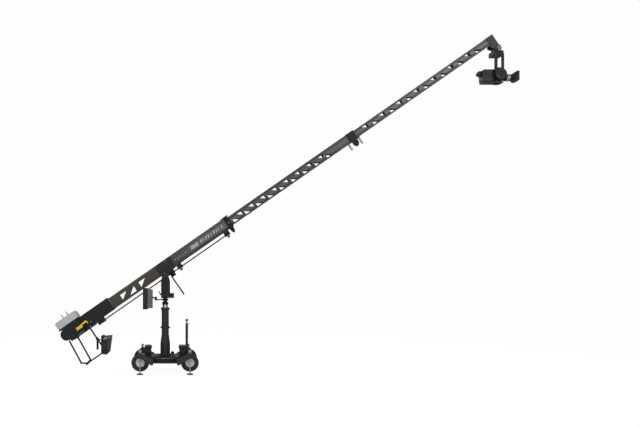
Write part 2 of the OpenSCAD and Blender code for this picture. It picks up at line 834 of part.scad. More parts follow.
module terminal_arm() {
    color(black) difference() {
        union() {
            translate([0, 0, arm_z - 14]) cylinder(h = 28, r = clamp_ring_r, $fn = 64);
            hull_bar([-clamp_ring_r + 12, -20, arm_z], [arm_elbow.x, arm_elbow.y, arm_z], 9);
            translate([arm_elbow.x, arm_elbow.y, arm_z - 12]) cylinder(h = 24, r = 20, $fn = 48);
            translate([arm_elbow.x, arm_elbow.y, arm_z]) cylinder(h = 50, r = arm_pin_r, $fn = 32);
        }
        translate([0, 0, arm_z - 15]) cylinder(h = 30, r = neck_r + seat, $fn = 96);
    }
}

// Flat bar with square edges between two points at one height
module hull_bar(a, b, r) {
    d = b - a;
    translate([a.x, a.y, a.z]) rotate([0, 0, atan2(d.y, d.x)]) translate([0, -r, -r]) cube([norm(d), 2 * r, 2 * r]);
}

screen_x = -289;
screen_y = -225;
screen_w = 250;
screen_h = 348;
screen_t = 76;
screen_z = arm_z + 17;
sink_t = 80;

module terminal_link() {
    z0 = arm_z + 12 + elbow_gap;
    color(black) difference() {
        union() {
            translate([arm_elbow.x, arm_elbow.y, z0]) cylinder(h = 38, r = 20, $fn = 48);
            block([arm_elbow.x - 9, screen_y - 9, z0 + 15], [arm_elbow.x + 9, arm_elbow.y, z0 + 33]);
            block([screen_x + sink_t + 18, screen_y - 9, z0 + 15], [arm_elbow.x, screen_y + 9, z0 + 33]);
            disc_y(screen_x + sink_t + 18, z0 + 24, screen_y - 32, screen_y + 32, 14);
        }
        translate([arm_elbow.x, arm_elbow.y, z0 - 1]) cylinder(h = 60, r = arm_pin_r + running, $fn = 32);
        disc_y(screen_x + sink_t + 18, z0 + 24, screen_y - 60, screen_y + 60, 6 + running);
    }
}

module terminal_screen() {
    z = arm_z + 12 + elbow_gap + 24;
    color(black) {
        difference() {
            block([screen_x - screen_t, screen_y - screen_w / 2, z - 188],
                [screen_x, screen_y + screen_w / 2, z - 188 + screen_h]);
            block([screen_x - screen_t - 1, screen_y - screen_w / 2 + 18, z - 188 + 40],
                [screen_x - screen_t + 6, screen_y + screen_w / 2 - 18, z - 188 + screen_h - 18]);
        }
    }
}

sink_fins = 9;

// Finned back of the terminal, with the ears that hold it to its link
module terminal_heat_sink() {
    z = arm_z + 12 + elbow_gap + 24;
    pin_x = screen_x + sink_t + 18;
    w = screen_w - 24;
    color(grey_paint) {
        difference() {
            union() {
                block([screen_x + seat, screen_y - w / 2, z - 178], [screen_x + 18, screen_y + w / 2, z + 146]);
                for (i = [0:sink_fins - 1])
                    block([screen_x + 17, screen_y - w / 2 + i * (w - 6) / (sink_fins - 1), z - 170],
                        [screen_x + sink_t, screen_y - w / 2 + 6 + i * (w - 6) / (sink_fins - 1), z + 138]);
            }
            block([screen_x + 18, screen_y - 52, z - 32], [screen_x + sink_t + 1, screen_y + 52, z + 32]);
        }
        for (side = [-1, 1])
            plate_y(screen_y + (side > 0 ? 34 : -44), screen_y + (side > 0 ? 44 : -34)) {
                translate([pin_x, z]) circle(r = 14, $fn = 48);
                translate([screen_x + 17, z - 14]) square([pin_x - screen_x - 17, 28]);
            }
        disc_y(pin_x, z, screen_y - 44, screen_y + 44, 6);
    }
}

// Dolly

hull_x = hull_l / 2;
hull_y = hull_w / 2;
hull_low = deck_top - hull_h;
hull_t = 12;
beam_in = hull_x - 6;
beam_out = axle_x + 50;
beam_half_y = 262;
kingpin_r = 12;
lip = 8;

module chassis_frame() {
    color(soft_black) difference() {
        union() {
            block([-hull_x, -hull_y, hull_low], [hull_x, hull_y, deck_top]);
            for (z = [hull_low, deck_top - lip])
                block([-hull_x + 60, -hull_y - lip, z], [hull_x - 60, hull_y + lip, z + lip]);
            for (side = [-1, 1]) {
                block([side > 0 ? beam_in : -beam_out, -beam_half_y, hull_low],
                    [side > 0 ? beam_out : -beam_in, beam_half_y, deck_top - 15]);
            }
            for (y = [-1, 1]) {
                disc_y(-axle_x, wheel_z, y > 0 ? beam_half_y - 1 : -track / 2 - 34, y > 0 ? track / 2 + 34 : -beam_half_y + 1,
                    axle_r);
                translate([axle_x, y * kingpin_y, hull_low]) cylinder(h = hull_h - 15, r = 30, $fn = 64);
            }
        }
        block([-hull_x + hull_t, -hull_y + hull_t, hull_low - 1], [hull_x - hull_t, hull_y - hull_t, deck_top - hull_t]);
        for (y = [-1, 1]) {
            translate([axle_x, y * kingpin_y, hull_low - 1]) cylinder(h = hull_h, r = kingpin_r + running, $fn = 48);
            translate([axle_x, y * kingpin_y, wheel_z - 25]) cylinder(h = 50, r = 31, $fn = 64);
            block([axle_x - 40, y > 0 ? kingpin_y - 31 : -kingpin_y - 40, wheel_z - 25],
                [axle_x + 40, y > 0 ? kingpin_y + 40 : -kingpin_y + 31, wheel_z + 25]);
        }
        translate([post_x, 0, hull_low - 1]) cylinder(h = hull_h, r = post_spigot_r + running, $fn = 48);
    }
}

// Oval deck plate under the column, with the bulged covers on both sides of the hull
module centre_deck() {
    cover_low = hull_low + 2;
    color(black) {
        difference() {
            intersection() {
                translate([0, 0, deck_top + seat]) cylinder(h = deck_plate_t - 2 * seat, r = 235, $fn = 96);
                block([-175, -hull_y, 0], [175, hull_y, far]);
            }
            translate([knob_x, 0, 0]) cylinder(h = far, r = knob_stem_r + running, $fn = 32);
        }
        for (side = [-1, 1])
            intersection() {
                translate([0, side * (hull_y - 430), cover_low]) cylinder(h = hull_h - 12, r = 466, $fn = 128);
                block([-170, side > 0 ? hull_y + lip + seat : -hull_y - 60, 0],
                    [170, side > 0 ? hull_y + 60 : -hull_y - lip - seat, far]);
            }
    }
}

outrig_x = 211;
outrig_half = 16;
outrig_y0 = jack_y - 18;
nut_r = 26;
nut_z0 = 258;
nut_z1 = 346;

// Four arms that reach past the wheels to the jack screws
module outriggers() {
    color(grey_paint) difference() {
        for (sx = [-1, 1]) for (sy = [-1, 1]) mirror([sx > 0 ? 0 : 1, 0, 0]) mirror([0, sy > 0 ? 0 : 1, 0]) {
            block([outrig_x - outrig_half, hull_y + lip + seat, hull_low + 2], [outrig_x + outrig_half, jack_y + 18, hull_low + 80]);
            plate_y(outrig_y0, jack_y + 18)
                polygon([[outrig_x - outrig_half, hull_low + 2], [outrig_x + outrig_half, hull_low + 2],
                    [axle_x, nut_z0 + 4], [axle_x + 60, nut_z0 - 6], [axle_x + 84, nut_z0 + 4],
                    [axle_x + 30, nut_z1 - 8], [axle_x - 30, nut_z1 - 8], [outrig_x - outrig_half, hull_low + 90]]);
            translate([axle_x, jack_y, nut_z0]) cylinder(h = nut_z1 - nut_z0, r = nut_r, $fn = 64);
        }
        for (sx = [-1, 1]) for (sy = [-1, 1])
            translate([sx * axle_x, sy * jack_y, nut_z0 - 20]) cylinder(h = nut_z1 - nut_z0 + 21, r = jack_r + running, $fn = 48);
    }
}

pad_h = 22;
jack_top = nut_z1 + 32;
floor_hole_r = 4.5;

// Jack screw on its dish pad, with a round finger disc at the top
module jack(sx, sy) {
    color(silver) translate([sx * axle_x, sy * jack_y, 0]) difference() {
        union() {
            rotate_extrude($fn = 64) polygon([[0, 0], [pad_r - 8, 0], [pad_r, 6], [pad_r, 12], [pad_r - 10, pad_h - 6],
                [22, pad_h], [0, pad_h]]);
            cylinder(h = jack_top - 20, r = jack_r, $fn = 48);
            disc_y(0, jack_top, -8, 8, 26);
            disc_y(0, jack_top, -11, 11, 16);
        }
        for (side = [-1, 1]) disc_y(0, jack_top, side > 0 ? 6 : -12, side > 0 ? 12 : -6, 11);
        translate([0, 0, -1]) cylinder(h = pad_h - 3, r = floor_hole_r, $fn = 32);
    }
}

module jack_rear_near() jack(-1, -1);
module jack_rear_far() jack(-1, 1);
module jack_front_near() jack(1, -1);
module jack_front_far() jack(1, 1);

// Tyre with rounded shoulders and shallow grooves, lying on its axle
module tyre(sx, sy) {
    w = wheel_w / 2;
    color(tyre_black) translate([sx * axle_x, sy * track / 2, wheel_z]) rotate([90, 0, 0])
        rotate_extrude($fn = 96) polygon([[hub_r + 4, -w + 8], [hub_r + 10, -w], [wheel_r - 22, -w], [wheel_r - 8, -w + 6],
            [wheel_r - 1, -w + 16], [wheel_r - 1, -10], [wheel_r - 5, -9], [wheel_r - 5, -6], [wheel_r, -5],
            [wheel_r, 5], [wheel_r - 5, 6], [wheel_r - 5, 9], [wheel_r - 1, 10], [wheel_r - 1, w - 16],
            [wheel_r - 8, w - 6], [wheel_r - 22, w], [hub_r + 10, w], [hub_r + 4, w - 8]]);
}

module tyre_rear_near() tyre(-1, -1);
module tyre_rear_far() tyre(-1, 1);
module tyre_front_near() tyre(1, -1);
module tyre_front_far() tyre(1, 1);

hub_holes = 6;
boss_r = 33;
hub_bore_depth = 30;

// Wheel hub, drawn with its outer face to +z and turned outwards
module hub(sx, sy) {
    w = wheel_w / 2;
    color(silver) translate([sx * axle_x, sy * track / 2, wheel_z]) rotate([sy > 0 ? -90 : 90, 0, 0]) difference() {
        rotate_extrude($fn = 96) polygon([[0, -w + 2], [boss_r, -w + 2], [boss_r, -w + 12], [hub_r - 10, -w + 14],
            [hub_r - 6, -w + 6], [hub_r + 3.7, -w + 6], [hub_r + 3.7, w - 8], [hub_r - 5, w - 4], [hub_r - 10, w - 12],
            [boss_r + 4, w - 14], [boss_r, w - 2], [boss_r - 6, w + 16], [boss_r - 12, w + 20], [0, w + 20]]);
        translate([0, 0, -w]) cylinder(h = w + 35, r = axle_r + running, $fn = 48);
        for (i = [0:hub_holes - 1]) rotate([0, 0, i * 360 / hub_holes])
            translate([(hub_r + boss_r) / 2 - 2, 0, -w]) cylinder(h = 2 * w, r = 7, $fn = 32);
    }
}

module hub_rear_near() hub(-1, -1);
module hub_rear_far() hub(-1, 1);
module hub_front_near() hub(1, -1);
module hub_front_far() hub(1, 1);

steer_arm = 90;
steer_arm_low = hull_low - seat - 16;
arm_pin = 8;

// Steering knuckle with its kingpin, stub axle and steering arm
module knuckle(sy) {
    color(soft_black) mirror([0, sy > 0 ? 0 : 1, 0]) {
        translate([axle_x, kingpin_y, steer_arm_low]) cylinder(h = deck_top - 15 - steer_arm_low, r = kingpin_r, $fn = 48);
        translate([axle_x, kingpin_y, wheel_z - 25 + seat]) cylinder(h = 50 - 2 * seat, r = 26, $fn = 48);
        disc_y(axle_x, wheel_z, kingpin_y, track / 2 + 34, axle_r);
        block([axle_x - steer_arm, kingpin_y - 12, steer_arm_low], [axle_x, kingpin_y + 12, steer_arm_low + 16]);
        translate([axle_x, kingpin_y, steer_arm_low]) cylinder(h = 16, r = 24, $fn = 48);
        translate([axle_x - steer_arm, kingpin_y, steer_arm_low]) cylinder(h = 16, r = 16, $fn = 48);
        translate([axle_x - steer_arm, kingpin_y, steer_arm_low - 18]) cylinder(h = 20, r = arm_pin, $fn = 32);
    }
}

module knuckle_near() knuckle(-1);
module knuckle_far() knuckle(1);

post_x = 366;
post_spigot_r = 16;
post_z0 = deck_top - 15 + seat;

module steering_post() {
    color(black) translate([post_x, 0, 0]) {
        translate([0, 0, steer_arm_low]) cylinder(h = post_z0 + 10 - steer_arm_low, r = post_spigot_r, $fn = 48);
        rotate_extrude($fn = 64) polygon([[0, post_z0], [post_r + 12, post_z0], [post_r + 12, post_z0 + 8],
            [post_r + 2, post_z0 + 13], [post_r, post_z0 + 20], [post_r, post_h - 12], [post_r + 4, post_h - 10], [post_r + 4, post_h],
            [post_r - 7, post_h + 4], [9, post_h + 22], [9, post_h + 34], [20, post_h + 50], [24, post_h + 62],
            [22, post_h + 74], [14, post_h + 78], [0, post_h + 78]]);
        bar([post_r - 4, 0, post_h - 4], [post_r + 22, 0, post_h - 4], 8);
        block([-steer_arm, -12, steer_arm_low], [0, 12, steer_arm_low + 16]);
        translate([-steer_arm, 0, steer_arm_low]) cylinder(h = 16, r = 16, $fn = 48);
        translate([-steer_arm, 0, steer_arm_low - 18]) cylinder(h = 20, r = arm_pin, $fn = 32);
    }
}

// Cross rod that joins the three steering arms
module tie_rod() {
    z0 = steer_arm_low - seat - 14;
    x1 = axle_x - steer_arm;
    x0 = post_x - steer_arm;
    color(silver) difference() {
        union() {
            block([x1 - 14, -kingpin_y, z0], [x1 + 14, kingpin_y, z0 + 14]);
            block([x0, -16, z0], [x1, 16, z0 + 14]);
            for (y = [-kingpin_y, kingpin_y]) translate([x1, y, z0]) cylinder(h = 14, r = 18, $fn = 48);
            translate([x0, 0, z0]) cylinder(h = 14, r = 18, $fn = 48);
        }
        for (y = [-kingpin_y, kingpin_y]) translate([x1, y, z0 - 1]) cylinder(h = 16, r = arm_pin + seat, $fn = 48);
        translate([x0, 0, z0 - 1]) cylinder(h = 16, r = arm_pin + running, $fn = 48);
    }
}

box_x = 240;
box_l = 102;
box_half_y = 150;
lid_h = 22;
lid_pin_r = 4;
lid_axis_x = box_x - 8;

// Two open boxes on the deck, with hinge pins along their outer edges
module equipment_boxes() {
    color(black) for (side = [-1, 1]) mirror([side > 0 ? 0 : 1, 0, 0]) {
        difference() {
            block([box_x, -box_half_y, deck_top + seat], [box_x + box_l, box_half_y, deck_top + box_h - lid_h]);
            block([box_x + box_wall, -box_half_y + box_wall, deck_top + box_wall],
                [box_x + box_l - box_wall, box_half_y - box_wall, far]);
        }
        for (y = [-90, 70]) block([lid_axis_x, y, deck_top + box_h - lid_h - 22], [box_x + 1, y + 20, deck_top + box_h - lid_h - 4]);
        for (y = [-90, 70])
            disc_y(lid_axis_x, deck_top + box_h - lid_h, y - 14, y + 34, lid_pin_r);
        for (y = [-90, 70]) block([lid_axis_x - 4, y, deck_top + box_h - lid_h - 12], [lid_axis_x + 4, y + 20, deck_top + box_h - lid_h]);
    }
}

module box_lid() {
    z0 = deck_top + box_h - lid_h + seat;
    color(black) {
        difference() {
            block([box_x - 1, -box_half_y - 3, z0], [box_x + box_l + 3, box_half_y + 3, z0 + lid_h - seat]);
            block([box_x + 5, -box_half_y + 5, z0 - 1], [box_x + box_l - 5, box_half_y - 5, z0 + lid_h - 5]);
        }
        for (y = [-90, 70]) for (e = [-13, 22]) difference() {
            union() {
                disc_y(lid_axis_x, z0 - seat, y + e, y + e + 11, lid_pin_r + 3);
                block([lid_axis_x - 3, y + e, z0 + 2], [box_x, y + e + 11, z0 + 10]);
            }
            disc_y(lid_axis_x, z0 - seat, y - 30, y + 60, lid_pin_r + running);
        }
    }
}

module box_lid_right() box_lid();
module box_lid_left() mirror([1, 0, 0]) box_lid();

knob_x = 124;
knob_stem_r = 8;

module column_clamp_knob() {
    color(black) translate([knob_x, 0, 0]) {
        translate([0, 0, deck_top + seat]) cylinder(h = 40, r = knob_stem_r, $fn = 32);
        translate([0, 0, deck_top + 30]) {
            cylinder(h = 30, r = 21, $fn = 48);
            for (a = [0:60:300]) rotate([0, 0, a]) translate([20, 0, 0]) cylinder(h = 30, r = 9, $fn = 24);
            cylinder(h = 46, r = 9, $fn = 32);
        }
    }
}

// Nose, levelling hanger and remote head

level_u = inner_front + 37;
level_v = -56;
level_pin_r = 12;
nose_x = boom_x(level_u, level_v);
nose_z = boom_z(level_u, level_v);
cap_in = inner_w / 2 + seat;
cap_out = cap_in + 10;

module nose_cheek() {
    polygon([[level_u - 73, axis_v + inner_h / 2 + 4], [level_u + 48, axis_v + inner_h / 2 + 4], [level_u + 48, 6],
        [level_u + 26, level_v - 12], [level_u - 20, level_v - 22], [level_u - 73, -17], [level_u - 101, 32],
        [level_u - 73, 44]]);
}

module nose_cap() {
    low = axis_v - inner_h / 2;
    color(soft_black) on_boom() difference() {
        union() {
            for (side = [-1, 1])
                plate_y(side > 0 ? cap_in : -cap_out, side > 0 ? cap_out : -cap_in) nose_cheek();
            block([inner_front + seat, -cap_in - 1, low], [level_u + 48, cap_in + 1, axis_v + inner_h / 2 + 4]);
            block([level_u - 73, -cap_in - 1, axis_v + inner_h / 2 + seat], [level_u + 48, cap_in + 1, axis_v + inner_h / 2 + 4]);
            disc_y(level_u, level_v, -cap_out - 6, cap_out + 6, 26);
        }
        block([inner_front + 8, -cap_in, -far], [level_u + 40, cap_in, axis_v + inner_h / 2 - 6]);
        block([level_u - far, -cap_in, -far], [inner_front + 9, cap_in, low - seat]);
        disc_y(level_u, level_v, -far, far, level_pin_r + running);
    }
}

post_gap = 58;
hanger_top = -22;
hanger_plate = -57;
head_plate_r = 72;

// Levelling hanger with its pin, its quadrant sector and the plate that carries the head
module level_hanger() {
    color(silver) translate([nose_x, 0, nose_z]) difference() {
        union() {
            disc_y(0, 0, -cap_out - 14, cap_out + 14, level_pin_r);
            for (side = [-1, 1]) disc_y(0, 0, side > 0 ? cap_out + 6 + seat : -cap_out - 16, side > 0 ? cap_out + 16 : -cap_out - 6 - seat, 20);
            disc_y(0, 0, -cap_in + 8, cap_in - 8, 22);
            plate_y(-8, 8) intersection() {
                circle(r = sector_r, $fn = 120);
                polygon([[0, 0], [far, -350], [far, far], [-300, far]]);
            }
            block([-18, -cap_in + 8, hanger_top - 10], [18, cap_in - 8, 0]);
            block([-66, -cap_in + 8, hanger_top - 16], [66, cap_in - 8, hanger_top - 6]);
            for (x = [-post_gap, post_gap])
                translate([x, 0, hanger_plate]) cylinder(h = hanger_top - 10 - hanger_plate, r = 12, $fn = 40);
            translate([0, 0, hanger_plate - 10]) cylinder(h = 10, r = head_plate_r, $fn = 96);
            translate([0, 0, hanger_plate - 30]) cylinder(h = 21, r = 20, $fn = 48);
        }
    }
}

head_top = hanger_plate - 10 - seat;
head_block_h = 75;
tilt_x = 24;
camera_front = 78;
frame_y0 = camera_w / 2 + 20;
frame_y1 = frame_y0 + 26;
arm_low = -head_drop - 20;
tilt_shaft_r = 18;

// Pan motor block with the side frame that carries the tilt motor
module pan_head() {
    block_low = head_top - head_block_h;
    color(black) translate([nose_x, 0, nose_z]) difference() {
        union() {
            block([-97, -frame_y1, block_low], [70, 56, head_top]);
            plate_y(-frame_y1, -frame_y0) {
                difference() {
                    polygon([[-75, block_low + 5], [-75, -head_drop + 40], [-60, -head_drop - 30], [40, -head_drop - 60],
                        [79, -head_drop - 10], [79, block_low + 30], [70, block_low + 5]]);
                    polygon([[-32, block_low], [22, block_low], [41, block_low - 30], [41, -head_drop + 114],
                        [-32, -head_drop + 114]]);
                }
                translate([tilt_x, -head_drop]) circle(r = 95, $fn = 96);
            }
            disc_y(tilt_x, -head_drop, -frame_y1 - 14, -frame_y1, 97);
        }
        translate([0, 0, head_top - 21]) cylinder(h = 22, r = 20 + running, $fn = 48);
        disc_y(tilt_x, -head_drop, -frame_y1 - 15, -frame_y0 + 1, tilt_shaft_r + running);
    }
}

plate_drop = 116;

// Tilting cradle with its shaft, side plate and camera plate
module tilt_cradle() {
    color(black) translate([nose_x, 0, nose_z - head_drop]) {
        disc_y(tilt_x, 0, -frame_y1 - 12, -frame_y0 + seat + 6, tilt_shaft_r);
        disc_y(tilt_x, 0, -frame_y0 + seat, -camera_w / 2 - 6, 88);
        block([tilt_x - 74, -frame_y0 + seat, -plate_drop - 16], [tilt_x + 34, -camera_w / 2 - 6, -20]);
        block([-262, -frame_y0 + seat, -plate_drop - 16], [84, camera_w / 2 - 14, -plate_drop]);
        for (x = [-34, -4, 26]) translate([x, 0, -plate_drop - 34]) cylinder(h = 20, r = 12, $fn = 40);
        block([-70, -40, -plate_drop], [60, 40, -camera_low - seat]);
    }
}

camera_low = 102;
lens_axis = -27;

module camera_body() {
    x1 = camera_front;
    x0 = camera_front - camera_l;
    color(black) translate([nose_x, 0, nose_z - head_drop]) difference() {
        union() {
            plate_y(-camera_w / 2, camera_w / 2)
                polygon([[x0 + 8, -camera_low], [x1, -camera_low], [x1, camera_h - camera_low - 12],
                    [x1 - 12, camera_h - camera_low], [x0 + 40, camera_h - camera_low], [x0 + 12, camera_h - camera_low - 8],
                    [x0, camera_h - camera_low - 40], [x0, 20 - camera_low]]);
            block([x0 + 60, -16, camera_h - camera_low - 1], [x0 + 190, 16, camera_h - camera_low + 10]);
        }
        for (i = [0:4])
            block([x0 + 60 + i * 22, -camera_w / 2 - 1, -60], [x0 + 68 + i * 22, -camera_w / 2 + 3, 50]);
    }
}

module viewfinder() {
    x1 = camera_front - camera_l - seat;
    color(black) translate([nose_x, 0, nose_z - head_drop])
        plate_y(-32, 32) polygon([[x1, -18], [x1, 70], [x1 - 20, 78], [x1 - 48, 72], [x1 - 72, 20],
            [x1 - 50, 2], [x1 - 30, -4]]);
}

mount_l = 60;
barrel_l = 128;
ring_l = 40;

module lens_profile(points) {
    translate([nose_x + camera_front + seat, 0, nose_z - head_drop + lens_axis]) rotate([0, 90, 0])
        rotate_extrude($fn = 72) polygon(points);
}

focus_x = mount_l + 30;

module lens_barrel() {
    end = mount_l + barrel_l;
    color(black) lens_profile([[0, 0], [38, 0], [38, mount_l - 12], [lens_r, mount_l], [lens_r, focus_x],
        [lens_r - 8, focus_x], [lens_r - 8, focus_x + ring_l], [lens_r - 2, focus_x + ring_l], [lens_r - 2, end - 14],
        [lens_r - 16, end], [lens_r - 16, end + 22], [0, end + 22]]);
}

module focus_ring() {
    color(soft_black) lens_profile([[lens_r - 8 + running, focus_x + seat], [lens_r + 3, focus_x + seat],
        [lens_r + 3, focus_x + ring_l - seat], [lens_r - 8 + running, focus_x + ring_l - seat]]);
}

module lens_hood() {
    x0 = camera_front + seat + mount_l + barrel_l + 8;
    z = -head_drop + lens_axis;
    half = 79;
    color(black) translate([nose_x, 0, nose_z]) difference() {
        hull() {
            block([x0, -62, z - 40], [x0 + 8, 62, z + 56]);
            block([x0 + hood_l - 40, -half, z - half + 16], [x0 + hood_l, half, z + half + 16]);
        }
        hull() {
            block([x0 + 22, -52, z - 32], [x0 + 24, 52, z + 48]);
            block([x0 + hood_l, -half + 6, z - half + 22], [x0 + hood_l + 10, half - 6, z + half + 10]);
        }
        translate([x0 - 1, 0, z]) rotate([0, 90, 0]) cylinder(h = 40, r = lens_r - 16 + seat, $fn = 64);
    }
}

chassis_frame();
centre_deck();
outriggers();
equipment_boxes();
box_lid_left();
box_lid_right();
column();
column_clamp_knob();
tyre_rear_near();
tyre_rear_far();
tyre_front_near();
tyre_front_far();
hub_rear_near();
hub_rear_far();
hub_front_near();
hub_front_far();
knuckle_near();
knuckle_far();
steering_post();
tie_rod();
jack_rear_near();
jack_rear_far();
jack_front_near();
jack_front_far();
lift_ram();
pan_neck();
yoke();
control_box();
pan_brake_lever();
terminal_arm();
terminal_link();
terminal_screen();
terminal_heat_sink();
outer_beam();
saddle();
guide_rail();
rail_brackets();
drive_motor();
front_collar();
tilt_lever();
carriage_shell();
side_weights();
push_frame();
weight_tray();
weight_slabs();
lock_lever();
tail_monitor();
middle_beam();
middle_collar();
collar_adjusters();
inner_beam();
nose_cap();
level_hanger();
pan_head();
tilt_cradle();
camera_body();
viewfinder();
lens_barrel();
focus_ring();
lens_hood();
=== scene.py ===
"""Dresses the telescopic camera jib crane: finishes, fasteners, marks, glass, treads, lights and camera."""

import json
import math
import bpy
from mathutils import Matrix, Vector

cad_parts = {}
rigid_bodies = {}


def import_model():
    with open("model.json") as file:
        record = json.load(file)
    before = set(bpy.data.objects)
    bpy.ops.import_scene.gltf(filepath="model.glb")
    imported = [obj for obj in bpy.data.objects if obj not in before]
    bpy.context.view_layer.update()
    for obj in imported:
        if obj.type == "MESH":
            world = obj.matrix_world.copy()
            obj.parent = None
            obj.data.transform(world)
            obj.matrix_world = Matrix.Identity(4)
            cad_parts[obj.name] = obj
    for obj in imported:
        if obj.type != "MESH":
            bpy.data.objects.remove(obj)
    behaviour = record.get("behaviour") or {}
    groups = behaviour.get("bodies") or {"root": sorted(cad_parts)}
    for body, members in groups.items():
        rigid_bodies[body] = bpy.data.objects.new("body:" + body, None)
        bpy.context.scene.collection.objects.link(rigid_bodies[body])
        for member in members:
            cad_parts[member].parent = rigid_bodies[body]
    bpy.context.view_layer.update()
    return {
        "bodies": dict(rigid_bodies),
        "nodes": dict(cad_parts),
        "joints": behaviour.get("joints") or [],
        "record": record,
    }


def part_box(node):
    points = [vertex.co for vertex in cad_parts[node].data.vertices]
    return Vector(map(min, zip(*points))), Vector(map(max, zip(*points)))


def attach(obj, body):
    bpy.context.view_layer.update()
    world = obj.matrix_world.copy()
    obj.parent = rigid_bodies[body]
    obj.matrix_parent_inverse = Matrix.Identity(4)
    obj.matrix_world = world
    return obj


bl_info = {
    "name": "Camera Jib Crane",
    "version": (1, 0, 0),
    "blender": (4, 5, 0),
    "location": "View3D > Sidebar > Jib Crane",
    "description": "Finishes and fittings for a telescopic camera jib crane",
    "category": "Object",
}

import bmesh
import bpy
from bpy.props import FloatProperty, FloatVectorProperty, IntProperty, PointerProperty
from bpy.types import Operator, Panel, PropertyGroup
from mathutils import Matrix, Vector

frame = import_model()
NODES = frame["nodes"]
JOINTS = {joint["name"]: joint for joint in frame["joints"]}

# The boom's own frame: u runs along the boom, v is square to it, y is shared with the crane
PIVOT = Vector(JOINTS["boom_tilt"]["pos_m"])
ALONG = -Vector(JOINTS["middle_extend"]["axis"]).normalized()
ACROSS = Vector((-ALONG.z, 0.0, ALONG.x))
BOOM_ANGLE = math.atan2(ALONG.z, ALONG.x)
AHEAD = Vector((1.0, 0.0, 0.0))
NEAR = Vector((0.0, -1.0, 0.0))
FAR = Vector((0.0, 1.0, 0.0))
UP = Vector((0.0, 0.0, 1.0))
SIDES = (("near", -1.0), ("far", 1.0))

# The middle of the tubes, in metres above the tilt pivot
AXIS_V = 0.117


def at_boom(u, y, v):
    """A point on the boom, in metres from the tilt pivot."""
    return PIVOT + ALONG * u + ACROSS * v + Vector((0.0, y, 0.0))


def boom_box(node):
    """Lowest and highest u, y and v of a boom piece."""
    steps = [vertex.co - PIVOT for vertex in NODES[node].data.vertices]
    spreads = [[step.dot(axis) for step in steps] for axis in (ALONG, FAR, ACROSS)]
    return tuple(min(spread) for spread in spreads), tuple(max(spread) for spread in spreads)


def linear(red, green, blue):
    """Linear colour from display values between 0 and 255."""
    shares = (red / 255.0, green / 255.0, blue / 255.0)
    return tuple(c / 12.92 if c <= 0.04 else ((c + 0.055) / 1.055) ** 2.4 for c in shares)


def colour_property(name, description, red, green, blue):
    return FloatVectorProperty(name=name, description=description, subtype="COLOR", size=3, min=0.0, max=1.0,
                               default=linear(red, green, blue))


def length_property(name, description, metres):
    return FloatProperty(name=name, description=description, default=metres, min=0.0, unit="LENGTH",
                         subtype="DISTANCE")


class CraneFinish(PropertyGroup):
    beam_rear: colour_property("Outer beam, rear", "Paint at the rear of the outer beam", 50, 44, 28)
    beam_front: colour_property("Outer beam, front", "Paint at the front of the outer beam", 104, 103, 99)
    middle_paint: colour_property("Middle beam", "Paint of the middle beam", 100, 100, 98)
    inner_paint: colour_property("Inner beam", "Paint of the inner beam", 112, 108, 102)
    chord_dark: colour_property("Top chord", "Darker strip along the top of the beams", 62, 60, 52)
    # Also darkened in paint_boom into the painted shadow along the bottom of the outer beam
    chord_olive: colour_property("Bottom chord", "Olive strip along the bottom of the beams", 68, 65, 50)
    fitting: colour_property("Fittings", "Black paint of collars, saddle and yoke", 25, 26, 27)
    frame_dark: colour_property("Chassis", "Dark paint of the dolly's frame", 19, 20, 21)
    frame_grey: colour_property("Outriggers", "Grey paint of the outriggers", 46, 47, 48)
    plastic: colour_property("Housings", "Moulded plastic of the monitors and the camera", 18, 19, 20)
    weight: colour_property("Weights", "Paint of the balance weights", 192, 193, 192)
    lever: colour_property("Catch lever", "Paint of the catch lever", 238, 198, 42)
    machined: colour_property("Machined metal", "Bare machined aluminium", 176, 178, 180)
    rubber: colour_property("Tyres", "Rubber of the tyres", 30, 30, 31)


class CraneFittings(PropertyGroup):
    screw_radius: length_property("Screw radius", "Radius of the cap screws on the fittings", 0.0055)
    small_screw_radius: length_property("Small screw radius", "Radius of the screws on the housings", 0.0028)
    rivet_radius: length_property("Rivet radius", "Radius of the rivets along the beam chords", 0.0038)
    rivet_pitch: length_property("Rivet pitch", "Distance between rivets", 0.118)
    tread_blocks: IntProperty(name="Tread blocks", description="Blocks around a tyre", default=44, min=8,
                              max=90)
    bar_width: length_property("Mark width", "Width of one slanted mark on the boom", 0.034)
    grip_ribs: IntProperty(name="Grip ribs", description="Ribs on a hand grip", default=22, min=4, max=60)


class CraneStage(PropertyGroup):
    lens: FloatProperty(name="Lens", description="Focal length of the view", default=33.075, min=10.0,
                        unit="CAMERA")
    distance: length_property("Distance", "Distance from the camera to the boom's plane", 10.0)
    eye_height: length_property("Eye height", "Height of the camera above the floor", 1.5)
    eye_x: FloatProperty(name="Eye X", description="Place of the camera along the X axis", default=0.085,
                         unit="LENGTH")
    shift_x: FloatProperty(name="Shift X", description="Sideways shift of the view", default=0.234)
    shift_y: FloatProperty(name="Shift Y", description="Upward shift of the view", default=0.108)
    backdrop: colour_property("Backdrop", "Colour of the floor and the wall", 254, 254, 254)
    lamp_power: FloatProperty(name="Lamp power", description="Power of the main soft lamp", default=270.0,
                              min=0.0, unit="POWER")


# Materials

